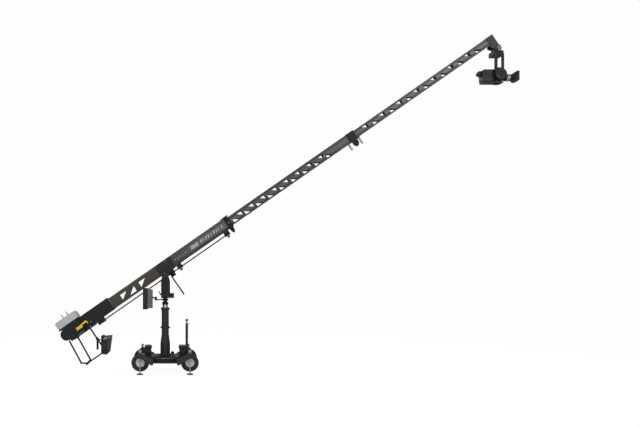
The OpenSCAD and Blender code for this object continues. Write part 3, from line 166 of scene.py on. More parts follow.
class Shader:
    """Small helper that builds one material's node tree."""

    def __init__(self, name):
        self.material = bpy.data.materials.new(name)
        self.material.use_nodes = True
        self.tree = self.material.node_tree
        self.tree.nodes.clear()
        self.output = self.add("ShaderNodeOutputMaterial")
        self.place = self.add("ShaderNodeTexCoord").outputs["Object"]

    def add(self, kind, settings=None, **sockets):
        made = self.tree.nodes.new(kind)
        for key, value in (settings or {}).items():
            setattr(made, key, value)
        for key, value in sockets.items():
            self.set(made.inputs[key.replace("_", " ")], value)
        return made

    def set(self, socket, value):
        if isinstance(value, bpy.types.NodeSocket):
            self.tree.links.new(value, socket)
        elif hasattr(socket.default_value, "__len__"):
            value = tuple(value)
            missing = len(socket.default_value) - len(value)
            socket.default_value = value + (1.0,) * missing
        else:
            socket.default_value = value

    def stretched(self, along, across, turn=0.0):
        """Coordinates for a pattern that runs along a piece."""
        turned = self.rotated(self.place, turn)
        return self.add("ShaderNodeMapping", Vector=turned, Scale=(along, across, across)).outputs[0]

    def rotated(self, vector, angle):
        """A vector turned about the Y axis."""
        return self.add("ShaderNodeVectorRotate", {"rotation_type": "Y_AXIS"}, Vector=vector,
                        Angle=angle).outputs[0]

    def noise(self, scale, detail=4.0, roughness=0.55, place=None):
        return self.add("ShaderNodeTexNoise", Vector=place or self.place, Scale=scale, Detail=detail,
                        Roughness=roughness).outputs["Fac"]

    def ramp(self, value, low, high, to_low=0.0, to_high=1.0):
        made = self.add("ShaderNodeMapRange", {"clamp": True})
        self.set(made.inputs[0], value)
        for slot, number in zip((1, 2, 3, 4), (low, high, to_low, to_high)):
            made.inputs[slot].default_value = number
        return made.outputs[0]

    def mix(self, amount, first, second):
        made = self.add("ShaderNodeMix", {"data_type": "RGBA"})
        self.set(made.inputs[0], amount)
        self.set(made.inputs[6], first)
        self.set(made.inputs[7], second)
        return made.outputs[2]

    def math(self, operation, first, second=0.0):
        made = self.add("ShaderNodeMath", {"operation": operation})
        self.set(made.inputs[0], first)
        self.set(made.inputs[1], second)
        return made.outputs[0]

    def bump(self, height, strength, distance, normal=None):
        made = self.add("ShaderNodeBump", Strength=strength, Distance=distance, Height=height)
        if normal is not None:
            self.set(made.inputs["Normal"], normal)
        return made.outputs[0]

    def close(self, **sockets):
        surface = self.add("ShaderNodeBsdfPrincipled", **sockets)
        self.tree.links.new(surface.outputs[0], self.output.inputs[0])
        return self.material


def toned(colour, factor):
    return tuple(min(1.0, c * factor) for c in colour)


def painted_metal(name, colour, gloss=0.42, wear=0.35, grain=900.0, turn=0.0):
    """Satin paint with a fine orange peel, faint handling marks, dust and a few bright chips."""
    shader = Shader(name)
    cloud = shader.noise(7.0, 5.0, 0.6)
    streak = shader.noise(4.0, 6.0, 0.6, shader.stretched(2.0, 26.0, turn))
    peel = shader.noise(grain, 2.0, 0.5)
    chips = shader.noise(120.0, 6.0, 0.65)
    base = shader.mix(shader.ramp(cloud, 0.35, 0.68), toned(colour, 0.82), toned(colour, 1.16))
    base = shader.mix(shader.ramp(streak, 0.5, 0.78, 0.0, 0.4), base, toned(colour, 1.5))
    base = shader.mix(shader.ramp(chips, 0.73, 0.77, 0.0, wear), base, linear(150, 150, 150))
    rough = shader.ramp(cloud, 0.3, 0.7, gloss - 0.07, gloss + 0.12)
    return shader.close(Base_Color=base, Roughness=rough, Specular_IOR_Level=0.3,
                        Normal=shader.bump(peel, 0.14, 0.0004, shader.bump(streak, 0.05, 0.001)))


def boom_paint(name, rear, front, dark, bottom_chord_and_shade, span, half_height, lower=0.024, groove=0.0):
    """Brushed paint that changes over a span of the boom, with a dark top chord and a bottom band: the olive
    chord on the middle beam, and a painted shadow along the bottom of the outer beam.
    """
    shader = Shader(name)
    shifted = shader.add("ShaderNodeVectorMath", {"operation": "SUBTRACT"})
    shader.set(shifted.inputs[0], shader.place)
    shader.set(shifted.inputs[1], tuple(PIVOT))
    turned = shader.rotated(shifted.outputs[0], BOOM_ANGLE)
    parts = shader.add("ShaderNodeSeparateXYZ", Vector=turned)
    along, height = parts.outputs[0], parts.outputs[2]
    brushed = shader.add("ShaderNodeMapping", Vector=turned, Scale=(0.9, 60.0, 60.0)).outputs[0]
    hair = shader.noise(7.0, 6.0, 0.62, brushed)
    cloud = shader.noise(3.2, 5.0, 0.6)
    spots = shader.noise(60.0, 5.0, 0.7)
    rise = shader.math("SUBTRACT", height, AXIS_V)
    top, bottom = half_height - 0.030, lower - half_height
    base = shader.mix(shader.ramp(along, *span), rear, front)
    base = shader.mix(shader.ramp(rise, top, top + 0.008, 0.0, 0.8), base, dark)
    # The bottom band: olive chord paint on the middle beam, painted shadow along the bottom of the outer beam
    base = shader.mix(shader.ramp(rise, bottom, bottom + 0.006, 0.9, 0.0), base, bottom_chord_and_shade)
    if groove:
        depth = shader.math("ABSOLUTE", shader.math("SUBTRACT", rise, half_height - groove))
        line = shader.ramp(depth, 0.003, 0.005, 0.85, 0.0)
        line = shader.math("MULTIPLY", line, shader.ramp(along, 0.24, 0.3))
        base = shader.mix(line, base, toned(dark, 0.35))
    base = shader.mix(shader.ramp(cloud, 0.42, 0.7, 0.0, 0.32), base, toned(rear, 0.62))
    base = shader.mix(shader.ramp(hair, 0.5, 0.85, 0.0, 0.4), base, toned(front, 1.55))
    base = shader.mix(shader.ramp(spots, 0.7, 0.78, 0.0, 0.35), base, toned(front, 2.0))
    rough = shader.ramp(hair, 0.3, 0.75, 0.3, 0.52)
    return shader.close(Base_Color=base, Roughness=rough, Metallic=0.2,
                        Normal=shader.bump(hair, 0.10, 0.0006, shader.bump(cloud, 0.05, 0.004)))


def machined_metal(name, colour, roughness=0.28, turn=0.0, metallic=0.7, foot=None):
    """Turned or milled metal with tool marks and stains; foot is a height and the colour below it."""
    shader = Shader(name)
    lines = shader.noise(18.0, 4.0, 0.6, shader.stretched(2.0, 90.0, turn))
    stain = shader.noise(14.0, 5.0, 0.6)
    base = shader.mix(shader.ramp(lines, 0.35, 0.7), toned(colour, 0.78), toned(colour, 1.12))
    base = shader.mix(shader.ramp(stain, 0.55, 0.8, 0.0, 0.45), base, toned(colour, 0.4))
    if foot:
        height = shader.add("ShaderNodeSeparateXYZ", Vector=shader.place).outputs[2]
        edge, below = foot
        base = shader.mix(shader.ramp(height, edge, edge + 0.0006), below, base)
    rough = shader.ramp(lines, 0.3, 0.7, roughness - 0.06, roughness + 0.14)
    return shader.close(Base_Color=base, Roughness=rough, Metallic=metallic,
                        Normal=shader.bump(lines, 0.12, 0.0003))


def moulded_plastic(name, colour, roughness=0.5):
    """Moulded housing with a fine leather-like texture and slight sheen changes."""
    shader = Shader(name)
    cells = shader.add("ShaderNodeTexVoronoi", {"feature": "SMOOTH_F1"}, Vector=shader.place, Scale=520.0)
    cloud = shader.noise(11.0, 4.0, 0.6)
    base = shader.mix(shader.ramp(cloud, 0.35, 0.7), toned(colour, 0.8), toned(colour, 1.3))
    rough = shader.ramp(cloud, 0.3, 0.7, roughness - 0.06, roughness + 0.1)
    return shader.close(Base_Color=base, Roughness=rough, Specular_IOR_Level=0.3,
                        Normal=shader.bump(cells.outputs["Distance"], 0.22, 0.0004))


def tyre_rubber(name, colour):
    """Dusty tyre rubber, paler where it has rolled."""
    shader = Shader(name)
    dust = shader.noise(26.0, 6.0, 0.65)
    grain = shader.noise(340.0, 3.0, 0.6)
    base = shader.mix(shader.ramp(dust, 0.42, 0.75, 0.0, 0.75), colour, linear(74, 72, 68))
    return shader.close(Base_Color=base, Roughness=shader.ramp(dust, 0.3, 0.7, 0.68, 0.92),
                        Normal=shader.bump(grain, 0.3, 0.0006))


def screen_glass(name, colour, tint):
    """Dark display glass with a faint smear of finger marks."""
    shader = Shader(name)
    smear = shader.noise(9.0, 5.0, 0.6)
    base = shader.mix(shader.ramp(smear, 0.4, 0.8), colour, tint)
    return shader.close(Base_Color=base, Roughness=shader.ramp(smear, 0.45, 0.7, 0.06, 0.2), Coat_Weight=0.6,
                        Coat_Roughness=0.05)


def chrome_ram(name):
    """Ground chrome with fine rings of oil."""
    shader = Shader(name)
    flat = shader.add("ShaderNodeMapping", Vector=shader.place, Scale=(1.0, 1.0, 9.0)).outputs[0]
    rings = shader.noise(30.0, 4.0, 0.6, flat)
    base = shader.mix(shader.ramp(rings, 0.45, 0.75, 0.0, 0.6), linear(205, 207, 210), linear(120, 121, 124))
    return shader.close(Base_Color=base, Roughness=shader.ramp(rings, 0.4, 0.7, 0.1, 0.24), Metallic=1.0)


# Shapes

BOOM = Matrix((ALONG, FAR, ACROSS)).transposed().to_4x4()
BOOM.translation = PIVOT
LEVEL = Matrix.Identity(4)
SHARP_ANGLE = math.radians(32.0)

# How deep the foot of a fitting sits in the face under it, in metres
SUNK = 0.0003
SUNK_DEEP = 0.0004


def facing(origin, normal, upward=UP):
    """A frame at origin whose Z axis is normal and whose Y axis is as near to upward as it can be."""
    normal = Vector(normal).normalized()
    side = Vector(upward).cross(normal)
    if side.length < 1e-6:
        side = AHEAD.cross(normal)
    side.normalize()
    made = Matrix((side, normal.cross(side), normal)).transposed().to_4x4()
    made.translation = Vector(origin)
    return made


def full_turn(count, start=0.0):
    """Evenly spaced angles round a full turn, in radians, from a start angle in degrees."""
    return [math.radians(start + 360.0 * i / count) for i in range(count)]


def bolt_circle(face, count, radius, start=0.0, lift=0.0):
    """Frames in a circle about a face's Z axis, from a start angle in degrees."""
    step = Matrix.Translation((radius, 0.0, lift))
    return [face @ Matrix.Rotation(angle, 4, "Z") @ step for angle in full_turn(count, start)]


class Form:
    """Collects simple closed solids in one mesh."""

    def __init__(self):
        self.mesh = bmesh.new()

    def loop(self, points, frame):
        """New vertices at the frame's own points."""
        return [self.mesh.verts.new(frame @ Vector(point)) for point in points]

    def round_loop(self, radius, height, frame, segments):
        points = [(radius * math.cos(a), radius * math.sin(a), height) for a in full_turn(segments)]
        return self.loop(points, frame)

    def wall(self, first, second):
        """Faces between two loops of the same length."""
        for i in range(len(first)):
            j = (i + 1) % len(first)
            self.mesh.faces.new((first[i], first[j], second[j], second[i]))

    def box(self, low, high, bevel=0.0, frame=LEVEL):
        low, high = Vector(low), Vector(high)
        made = bmesh.ops.create_cube(self.mesh, size=1.0)["verts"]
        for vertex in made:
            share = vertex.co + Vector((0.5, 0.5, 0.5))
            vertex.co = frame @ (low + share * (high - low))
        if bevel > 0.0:
            edges = list({edge for vertex in made for edge in vertex.link_edges})
            bmesh.ops.bevel(self.mesh, geom=edges, offset=bevel, segments=2, affect="EDGES", profile=0.5)
        return self

    def turned(self, profile, frame=LEVEL, segments=32):
        """A solid of revolution about the frame's Z axis, from (radius, height) pairs."""
        rings = [self.round_loop(radius, height, frame, segments) for radius, height in profile]
        for lower, upper in zip(rings, rings[1:]):
            self.wall(lower, upper)
        self.mesh.faces.new(list(reversed(rings[0])))
        self.mesh.faces.new(rings[-1])
        return self

    def ring(self, inner, outer, low, high, frame=LEVEL, segments=72):
        """A flat washer about the frame's Z axis."""
        profile = ((outer, low), (outer, high), (inner, high), (inner, low))
        loops = [self.round_loop(radius, height, frame, segments) for radius, height in profile]
        for first, second in zip(loops, loops[1:] + loops[:1]):
            self.wall(first, second)
        return self

    def prism(self, outline, low, high, frame=LEVEL):
        """A plate with the given outline in the frame's XY plane, between two heights."""
        bottom = self.loop([(x, y, low) for x, y in outline], frame)
        top = self.loop([(x, y, high) for x, y in outline], frame)
        self.mesh.faces.new(list(reversed(bottom)))
        self.mesh.faces.new(top)
        self.wall(bottom, top)
        return self

    def data(self, name):
        bmesh.ops.recalc_face_normals(self.mesh, faces=self.mesh.faces)
        mesh = bpy.data.meshes.new(name)
        self.mesh.to_mesh(mesh)
        self.mesh.free()
        return mesh

    def piece(self, name, material, body):
        """Ends the form as a piece of a body."""
        add_piece(name, self.data(name), material, body)


def add_piece(name, mesh, material, body):
    """Puts a finished mesh in the scene as a piece of a body, smooth but for its sharp edges."""
    mesh.materials.clear()
    mesh.materials.append(material)
    for face in mesh.polygons:
        face.use_smooth = True
    mesh.set_sharp_from_angle(angle=SHARP_ANGLE)
    piece = bpy.data.objects.new(name, mesh)
    bpy.context.scene.collection.objects.link(piece)
    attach(piece, body)


def repeat_tree():
    """Node group that puts a part on every point, turned as the point's own attribute says."""
    tree = bpy.data.node_groups.get("Repeat Part")
    if tree:
        return tree
    tree = bpy.data.node_groups.new("Repeat Part", "GeometryNodeTree")
    for name, way, kind in (("Points", "INPUT", "Geometry"), ("Part", "INPUT", "Object"),
                            ("Finish", "INPUT", "Material"), ("Parts", "OUTPUT", "Geometry")):
        tree.interface.new_socket(name, in_out=way, socket_type="NodeSocket" + kind)
    kinds = ("NodeGroupInput", "NodeGroupOutput", "GeometryNodeObjectInfo", "GeometryNodeInputNamedAttribute",
             "FunctionNodeEulerToRotation", "GeometryNodeInstanceOnPoints", "GeometryNodeRealizeInstances",
             "GeometryNodeSetMaterial")
    entry, leave, source, turn, rotate, spread, solid, coat = [tree.nodes.new(kind) for kind in kinds]
    source.inputs["As Instance"].default_value = True
    turn.data_type = "FLOAT_VECTOR"
    turn.inputs["Name"].default_value = "turn"
    for first, out, second, into in (
        (entry, "Points", spread, "Points"), (entry, "Part", source, "Object"),
        (source, "Geometry", spread, "Instance"), (turn, "Attribute", rotate, 0),
        (rotate, 0, spread, "Rotation"), (spread, "Instances", solid, "Geometry"),
        (solid, "Geometry", coat, "Geometry"), (entry, "Finish", coat, "Material"),
        (coat, "Geometry", leave, "Parts"),
    ):
        tree.links.new(first.outputs[out], second.inputs[into])
    return tree


def repeat(name, part, frames, material, body):
    """One part, spread with Geometry Nodes over the frames, then made one plain mesh."""
    points = bpy.data.meshes.new(name + "_points")
    points.from_pydata([tuple(spot.to_translation()) for spot in frames], [], [])
    turns = points.attributes.new("turn", "FLOAT_VECTOR", "POINT")
    for item, spot in zip(turns.data, frames):
        item.vector = spot.to_euler("XYZ")
    carrier = bpy.data.objects.new(name + "_carrier", points)
    sample = bpy.data.objects.new(name + "_sample", part)
    for made in (carrier, sample):
        bpy.context.scene.collection.objects.link(made)
    tree = repeat_tree()
    modifier = carrier.modifiers.new("Repeat", "NODES")
    modifier.node_group = tree
    values = {"Part": sample, "Finish": material}
    for item in tree.interface.items_tree:
        if item.name in values:
            modifier[item.identifier] = values[item.name]
    bpy.context.view_layer.update()
    graph = bpy.context.evaluated_depsgraph_get()
    mesh = bpy.data.meshes.new_from_object(carrier.evaluated_get(graph), depsgraph=graph)
    if len(mesh.polygons) < len(part.polygons) * len(frames):
        raise RuntimeError(name + ": some of the repeated parts are missing")
    carrier.modifiers.remove(modifier)
    for made in (carrier, sample):
        bpy.data.objects.remove(made)
    mesh.name = name
    add_piece(name, mesh, material, body)


def cap_screw(radius, height):
    """A socket cap screw's head, standing on its seat."""
    profile = ((radius, 0.0), (radius, height * 0.82), (radius * 0.86, height), (radius * 0.5, height),
               (radius * 0.46, height * 0.45))
    return Form().turned(profile, segments=18).data("cap_screw")


def rivet(radius, height):
    """A low domed rivet head."""
    profile = ((radius, 0.0), (radius * 0.92, height * 0.5), (radius * 0.6, height * 0.88),
               (radius * 0.2, height))
    return Form().turned(profile, segments=14).data("rivet")


def boom_screws(name, spots, y, sign, part, material, body):
    """Screws on the near or far side of the boom, at (u, v) spots and half width y."""
    frames = [facing(at_boom(u, sign * (y - SUNK_DEEP), v), FAR * sign, ACROSS) for u, v in spots]
    repeat(name, part, frames, material, body)


def side_screws(name, spots, y, sign, part, material, body, sunk=SUNK):
    """Screws on a face square to Y, at (x, z) spots."""
    frames = [facing((x, y - sign * sunk, z), FAR * sign) for x, z in spots]
    repeat(name, part, frames, material, body)


def case_screws(name, case, spots, radius, material, body):
    """Screws at (x, z) spots on the near and far sides of a case, given by its two corners."""
    for (side, sign), corner in zip(SIDES, case):
        side_screws(name + "_" + side, spots, corner[1], sign, cap_screw(radius, 0.0016), material, body)


def corners(low_a, high_a, low_b, high_b, inset, middles=0):
    """Spots round the edge of a rectangle, inset from it, with extra ones along the long sides."""
    a0, a1, b0, b1 = low_a + inset, high_a - inset, low_b + inset, high_b - inset
    along = [a0 + (a1 - a0) * i / (middles + 1) for i in range(middles + 2)]
    return [(a, b) for a in along for b in (b0, b1)]


# Finishes of the CAD nodes

def paint(material, *names):
    """Gives CAD nodes a material."""
    for name in names:
        node = NODES[name]
        if not node.material_slots:
            node.data.materials.append(material)
        for slot in node.material_slots:
            slot.material = material


def at_wheels(prefix):
    """The names of the four nodes that repeat at the wheels."""
    return [prefix + corner for corner in ("_rear_near", "_rear_far", "_front_near", "_front_far")]


def paint_boom(tone):
    dark, bottom_chord_and_shade, middle, inner = tone.chord_dark, tone.chord_olive, tone.middle_paint, tone.inner_paint
    # The outer beam's bottom band is the olive darkened to a quarter: a painted shadow where the guide rail
    # shades the bottom of the beam
    paint(boom_paint("boom_outer_paint", tone.beam_rear, tone.beam_front, dark, toned(bottom_chord_and_shade, 0.25),
                     (0.15, 0.85), 0.101, 0.042, 0.044), "outer_beam")
    paint(boom_paint("boom_middle_paint", toned(middle, 0.92), middle, dark, bottom_chord_and_shade, (1.4, 3.9), 0.059),
          "middle_beam")
    paint(boom_paint("boom_inner_paint", toned(inner, 0.9), inner, toned(inner, 0.22), toned(inner, 0.16),
                     (3.9, 6.7), 0.046), "inner_beam")
    paint(painted_metal("nose_paint", toned(inner, 0.34)), "nose_cap")


def paint_fittings(tone):
    black, plastic = tone.fitting, tone.plastic
    paint(painted_metal("fitting_black", black, 0.4, 0.3, turn=BOOM_ANGLE), "front_collar", "middle_collar",
          "saddle", "terminal_arm", "terminal_link", "tilt_cradle", "weight_tray", "rail_brackets")
    paint(painted_metal("shell_black", toned(black, 0.8), 0.5, 0.16, 1300.0, BOOM_ANGLE), "carriage_shell",
          "side_weights", "yoke", "pan_head", "push_frame", "drive_motor", "tilt_lever", "pan_brake_lever",
          "pan_neck")
    paint(painted_metal("column_black", toned(black, 2.6), 0.4, 0.14), "column")
    paint(machined_metal("rail_black", toned(black, 0.5), 0.4, BOOM_ANGLE, 0.2), "guide_rail")
    paint(painted_metal("chassis_dark", tone.frame_dark, 0.52, 0.4), "chassis_frame", "centre_deck",
          "tie_rod", "knuckle_near", "knuckle_far")
    paint(painted_metal("outrigger_grey", tone.frame_grey, 0.46, 0.4), "outriggers", "steering_post")
    paint(moulded_plastic("box_plastic", toned(plastic, 1.1)), "equipment_boxes", "box_lid_left",
          "box_lid_right", "column_clamp_knob")
    paint(moulded_plastic("housing_plastic", toned(plastic, 0.6), 0.44), "terminal_screen", "tail_monitor",
          "viewfinder", "control_box")
    paint(painted_metal("camera_grey", toned(plastic, 1.5), 0.4, 0.12, 1500.0), "camera_body", "lens_barrel",
          "lens_hood")
    paint(painted_metal("weight_paint", tone.weight, 0.55, 0.5), "weight_slabs")
    paint(painted_metal("lever_yellow", tone.lever, 0.4, 0.25), "lock_lever")


def paint_metal(tone):
    """Bare metal; the jack's foot plates and the underside of the nose hanger are dark."""
    metal = tone.machined
    foot_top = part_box("jack_rear_near")[0][2] + 0.0155
    dome_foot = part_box("level_hanger")[0][2] + 0.060
    paint(machined_metal("heat_sink_metal", toned(metal, 0.28), 0.4), "terminal_heat_sink")
    paint(machined_metal("bare_metal", metal, 0.3, BOOM_ANGLE), "collar_adjusters")
    paint(machined_metal("jack_metal", toned(metal, 0.8), 0.34, 0.0, 0.5, (foot_top, linear(40, 40, 41))),
          *at_wheels("jack"))
    paint(machined_metal("hub_metal", toned(metal, 2.1), 0.36, 0.0, 0.2), *at_wheels("hub"), "focus_ring")
    paint(machined_metal("hanger_metal", toned(metal, 0.42), 0.4, 0.0, 0.2, (dome_foot, tone.fitting)),
          "level_hanger")
    paint(chrome_ram("ram_chrome"), "lift_ram")


class CRANE_OT_finishes(Operator):
    """Paints every part of the crane"""
    bl_idname = "crane.finishes"
    bl_label = "Finishes"

    def execute(self, context):
        tone = context.scene.crane_finish
        paint_boom(tone)
        paint_fittings(tone)
        paint_metal(tone)
        paint(tyre_rubber("tyre_rubber", tone.rubber), *at_wheels("tyre"))
        return {"FINISHED"}


# Fittings of the boom, at (u, v) spots in metres from the tilt pivot

BEAM_LOW, BEAM_HIGH = boom_box("outer_beam")
BEAM_SIDE = BEAM_HIGH[1]
SADDLE_SIDE = 0.083
FRONT_COLLAR_SIDE = 0.0833
MIDDLE_COLLAR_SIDE = 0.0673
SLEEVE_SIDE = 0.087
POD_SIDE = 0.155
SCREW_HEIGHT = 0.004


def beam_fittings(side, sign, sizes, dull, pale):
    """Rivets along both chords of the outer beam, clear of its windows, and a row of studs by the saddle."""
    spots = []
    edge, pitch = 0.014, sizes.rivet_pitch
    for start, end in ((-0.53, -0.12), (0.28, BEAM_HIGH[0] - 0.10)):
        along = [start + pitch * i for i in range(int((end - start) / pitch) + 1)]
        spots += [(u, v) for u in along for v in (BEAM_LOW[2] + edge, BEAM_HIGH[2] - edge)]
    head = rivet(sizes.rivet_radius, 0.0014)
    boom_screws("beam_rivets_" + side, spots, BEAM_SIDE, sign, head, dull, "boom")
    row = [(0.285 + 0.052 * i, 0.112 - 0.006 * (i % 2)) for i in range(5)]
    boom_screws("beam_studs_" + side, row, BEAM_SIDE, sign, rivet(0.0075, 0.0024), pale, "boom")


def saddle_fittings(side, sign, screw, bright):
    """Screws round the upper part of the saddle plate and four inside it."""
    rim = [(u, v) for u, v in corners(-0.076, 0.230, 0.030, 0.218, 0.016, 2) if v > 0.1]
    inside = [(0.065, 0.154), (0.117, 0.139), (0.100, 0.176), (0.150, 0.180)]
    boom_screws("saddle_screws_" + side, rim + inside, SADDLE_SIDE, sign, screw, bright, "boom")


def collar_fittings(side, sign, screw, bright, black):
    """Corner screws on both collars and a large stud on the front one."""
    spots = corners(1.335, 1.420, 0.008, 0.226, 0.013)
    boom_screws("front_collar_screws_" + side, spots, FRONT_COLLAR_SIDE, sign, screw, black, "boom")
    face = facing(at_boom(1.380, sign * (FRONT_COLLAR_SIDE - SUNK), 0.112), FAR * sign, ACROSS)
    profile = ((0.017, 0.0), (0.017, 0.004), (0.014, 0.007), (0.007, 0.007), (0.006, 0.004))
    Form().turned(profile, face).piece("front_collar_stud_" + side, bright, "boom")
    spots = corners(3.850, 3.993, 0.033, 0.201, 0.013, 1)
    boom_screws("middle_collar_screws_" + side, spots, MIDDLE_COLLAR_SIDE, sign, screw, black, "middle")


def carriage_fittings(side, sign, screw, black, dull, pale):
    """Screws and studs on the carriage, and a wiper strip with two clips where the beam leaves it."""
    spots = [(u, v) for u in (-1.600, -1.460, -1.320, -1.180, -1.045) for v in (0.022, 0.226)]
    boom_screws("sleeve_screws_" + side, spots, SLEEVE_SIDE, sign, screw, black, "carriage")
    spots = [(-1.640, -0.010), (-1.640, 0.204), (-1.780, -0.010), (-1.780, 0.204), (-1.895, -0.008),
             (-1.905, 0.198), (-2.000, 0.060), (-2.000, 0.165)]
    boom_screws("pod_screws_" + side, spots, POD_SIDE, sign, screw, black, "carriage")
    spots = [(-1.481, 0.066), (-1.537, 0.004)]
    boom_screws("sleeve_studs_" + side, spots, SLEEVE_SIDE, sign, rivet(0.008, 0.003), pale, "carriage")
    front = boom_box("carriage_shell")[1][0]
    y0, y1 = sorted((sign * (BEAM_SIDE + 0.0015), sign * (SLEEVE_SIDE + SUNK)))
    wiper = Form().box((front - 0.001, y0, 0.036), (front + 0.0048, y1, 0.170), 0.0006, BOOM)
    wiper.piece("sleeve_wiper_" + side, dull, "carriage")
    clips = Form()
    for v in (0.150, 0.190):
        clips.box((front - 0.001, y0, v), (front + 0.009, y1, v + 0.009), 0.0006, BOOM)
    clips.piece("sleeve_clips_" + side, pale, "carriage")


class CRANE_OT_boom_fasteners(Operator):
    """Puts rivets, studs and screws on the boom, and wipers and clips on the carriage"""
    bl_idname = "crane.boom_fasteners"
    bl_label = "Boom fasteners"

    def execute(self, context):
        sizes = context.scene.crane_fittings
        bright = machined_metal("screw_bright", linear(150, 151, 152), 0.34)
        black = machined_metal("screw_black", linear(48, 48, 50), 0.42)
        dull = machined_metal("rivet_metal", linear(112, 110, 102), 0.4)
        pale = machined_metal("stud_metal", linear(218, 217, 210), 0.36, metallic=0.3)
        screw = cap_screw(sizes.screw_radius, SCREW_HEIGHT)
        for side, sign in SIDES:
            beam_fittings(side, sign, sizes, dull, pale)
            saddle_fittings(side, sign, screw, bright)
            collar_fittings(side, sign, screw, bright, black)
            carriage_fittings(side, sign, screw, black, dull, pale)
        return {"FINISHED"}


def slanted_bars(name, rows, y, material, body, lean=0.35, proud=0.0006):
    """Plain painted bars on both sides of the boom, from (start u, end u, low v, high v) rows."""
    form = Form()
    standing = BOOM @ Matrix(((1, 0, 0, 0), (0, 0, 1, 0), (0, 1, 0, 0), (0, 0, 0, 1)))
    for start, end, low, high in rows:
        slant = lean * (high - low)
        outline = [(start, low), (end, low), (end + slant, high), (start + slant, high)]
        for first, last in ((y - SUNK_DEEP, y + proud), (-y - proud, -y + SUNK_DEEP)):
            form.prism(outline, first, last, standing)
    form.piece(name, material, body)


class CRANE_OT_boom_marks(Operator):
    """Paints one block and nine slanted bars on the outer beam, and a plain strip on the tail pod"""
    bl_idname = "crane.boom_marks"
    bl_label = "Boom marks"

    def execute(self, context):
        width = context.scene.crane_fittings.bar_width
        rows = [(0.600, 0.745, 0.088, 0.150)]
        start = 0.800
        for i in range(9):
            rows.append((start, start + width * (0.5 if i % 3 == 1 else 0.85), 0.096, 0.148))
            start += width * 1.45 + (0.014 if i % 4 == 3 else 0.0)
        chalk = painted_metal("mark_paint", linear(176, 177, 174), 0.6, 0.0)
        slanted_bars("outer_marks", rows, BEAM_SIDE, chalk, "boom")
        strip = painted_metal("strip_paint", linear(138, 138, 134), 0.6, 0.0)
        slanted_bars("pod_strips", [(-1.765, -1.655, -0.004, 0.004)], POD_SIDE, strip, "carriage", 0.0)
        return {"FINISHED"}


class CRANE_OT_yoke_fasteners(Operator):
    """Puts screws on the yoke and the control box, and caps on the tilt bearing"""
    bl_idname = "crane.yoke_fasteners"
    bl_label = "Yoke fasteners"

    def execute(self, context):
        sizes = context.scene.crane_fittings
        bright = machined_metal("yoke_screw", linear(96, 97, 98), 0.36)
        screw = cap_screw(sizes.screw_radius, SCREW_HEIGHT)
        small = cap_screw(sizes.small_screw_radius, 0.002)
        yoke_side, box_side = 0.112, 0.060
        yoke_spots = [(x, z) for x in (-0.054, 0.066) for z in (1.250, 1.295, 1.400, 1.500)]
        box_spots = [(x, z) for x in (0.092, 0.139) for z in (1.240, 1.304)]
        cap = ((0.034, -0.0004), (0.034, 0.003), (0.031, 0.0048), (0.012, 0.0048), (0.012, 0.0026))
        for side, sign in SIDES:
            y = sign * yoke_side
            side_screws("yoke_screws_" + side, yoke_spots, y, sign, screw, bright, "pan", SUNK_DEEP)
            side_screws("control_box_screws_" + side, box_spots, sign * box_side, sign, small, bright, "pan",
                        SUNK_DEEP)
            hub = facing((0.0, y, PIVOT.z), FAR * sign)
            Form().turned(cap, hub, 48).piece("trunnion_cap_" + side, bright, "pan")
            frames = bolt_circle(hub, 6, 0.023, 30.0, 0.0046)
            repeat("trunnion_screws_" + side, cap_screw(0.0032, 0.0016), frames, bright, "pan")
        return {"FINISHED"}


# Fittings of the dolly

DECK_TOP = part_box("centre_deck")[1][2]
BOX_X, BOX_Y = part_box("equipment_boxes")[1][:2]


def edge_trims(material):
    """Bright strips along the two round deck edges and beside them."""
    trim = Form()
    bow, proud, half_chord, centre, steps = 0.4655, 0.0017, 0.164, 0.180, 12
    for sign in (-1.0, 1.0):
        for low, high in ((0.1535, 0.161), (0.236, 0.2435)):
            arcs = []
            for radius in (bow + proud, bow):
                half = math.asin(half_chord / radius)
                angles = [half * (k / steps - 1.0) for k in range(2 * steps + 1)]
                arcs.append([(radius * math.sin(a), sign * (radius * math.cos(a) - centre)) for a in angles])
            trim.prism(arcs[0] + arcs[1][::-1], low, high)
        y0, y1 = sorted((sign * 0.2576, sign * 0.2590))
        for x0, x1 in ((-0.268, -0.176), (0.176, 0.268)):
            trim.box((x0, y0, 0.1508), (x1, y1, 0.1572))
    trim.piece("edge_trims", material, "dolly")


def around_column(radius, height, count, start):
    """Frames on a level face, in a circle about the column, all turned the same way."""
    spots = [(radius * math.cos(a), radius * math.sin(a), height) for a in full_turn(count, start)]
    return [facing(spot, UP, AHEAD) for spot in spots]


def deck_screws(sizes, bright, black):
    """Screws round the column's foot, and round the deck where nothing stands on it."""
    frames = around_column(0.088, 0.2806, 8, 22.5)
    repeat("column_foot_screws", cap_screw(0.0052, 0.004), frames, bright, "dolly")
    frames = [spot for spot in around_column(0.218, DECK_TOP - SUNK, 20, 9.0)
              if abs(spot.translation.x) < 0.160 and abs(spot.translation.y) < 0.236]
    repeat("deck_screws", cap_screw(sizes.screw_radius, SCREW_HEIGHT), frames, black, "dolly")


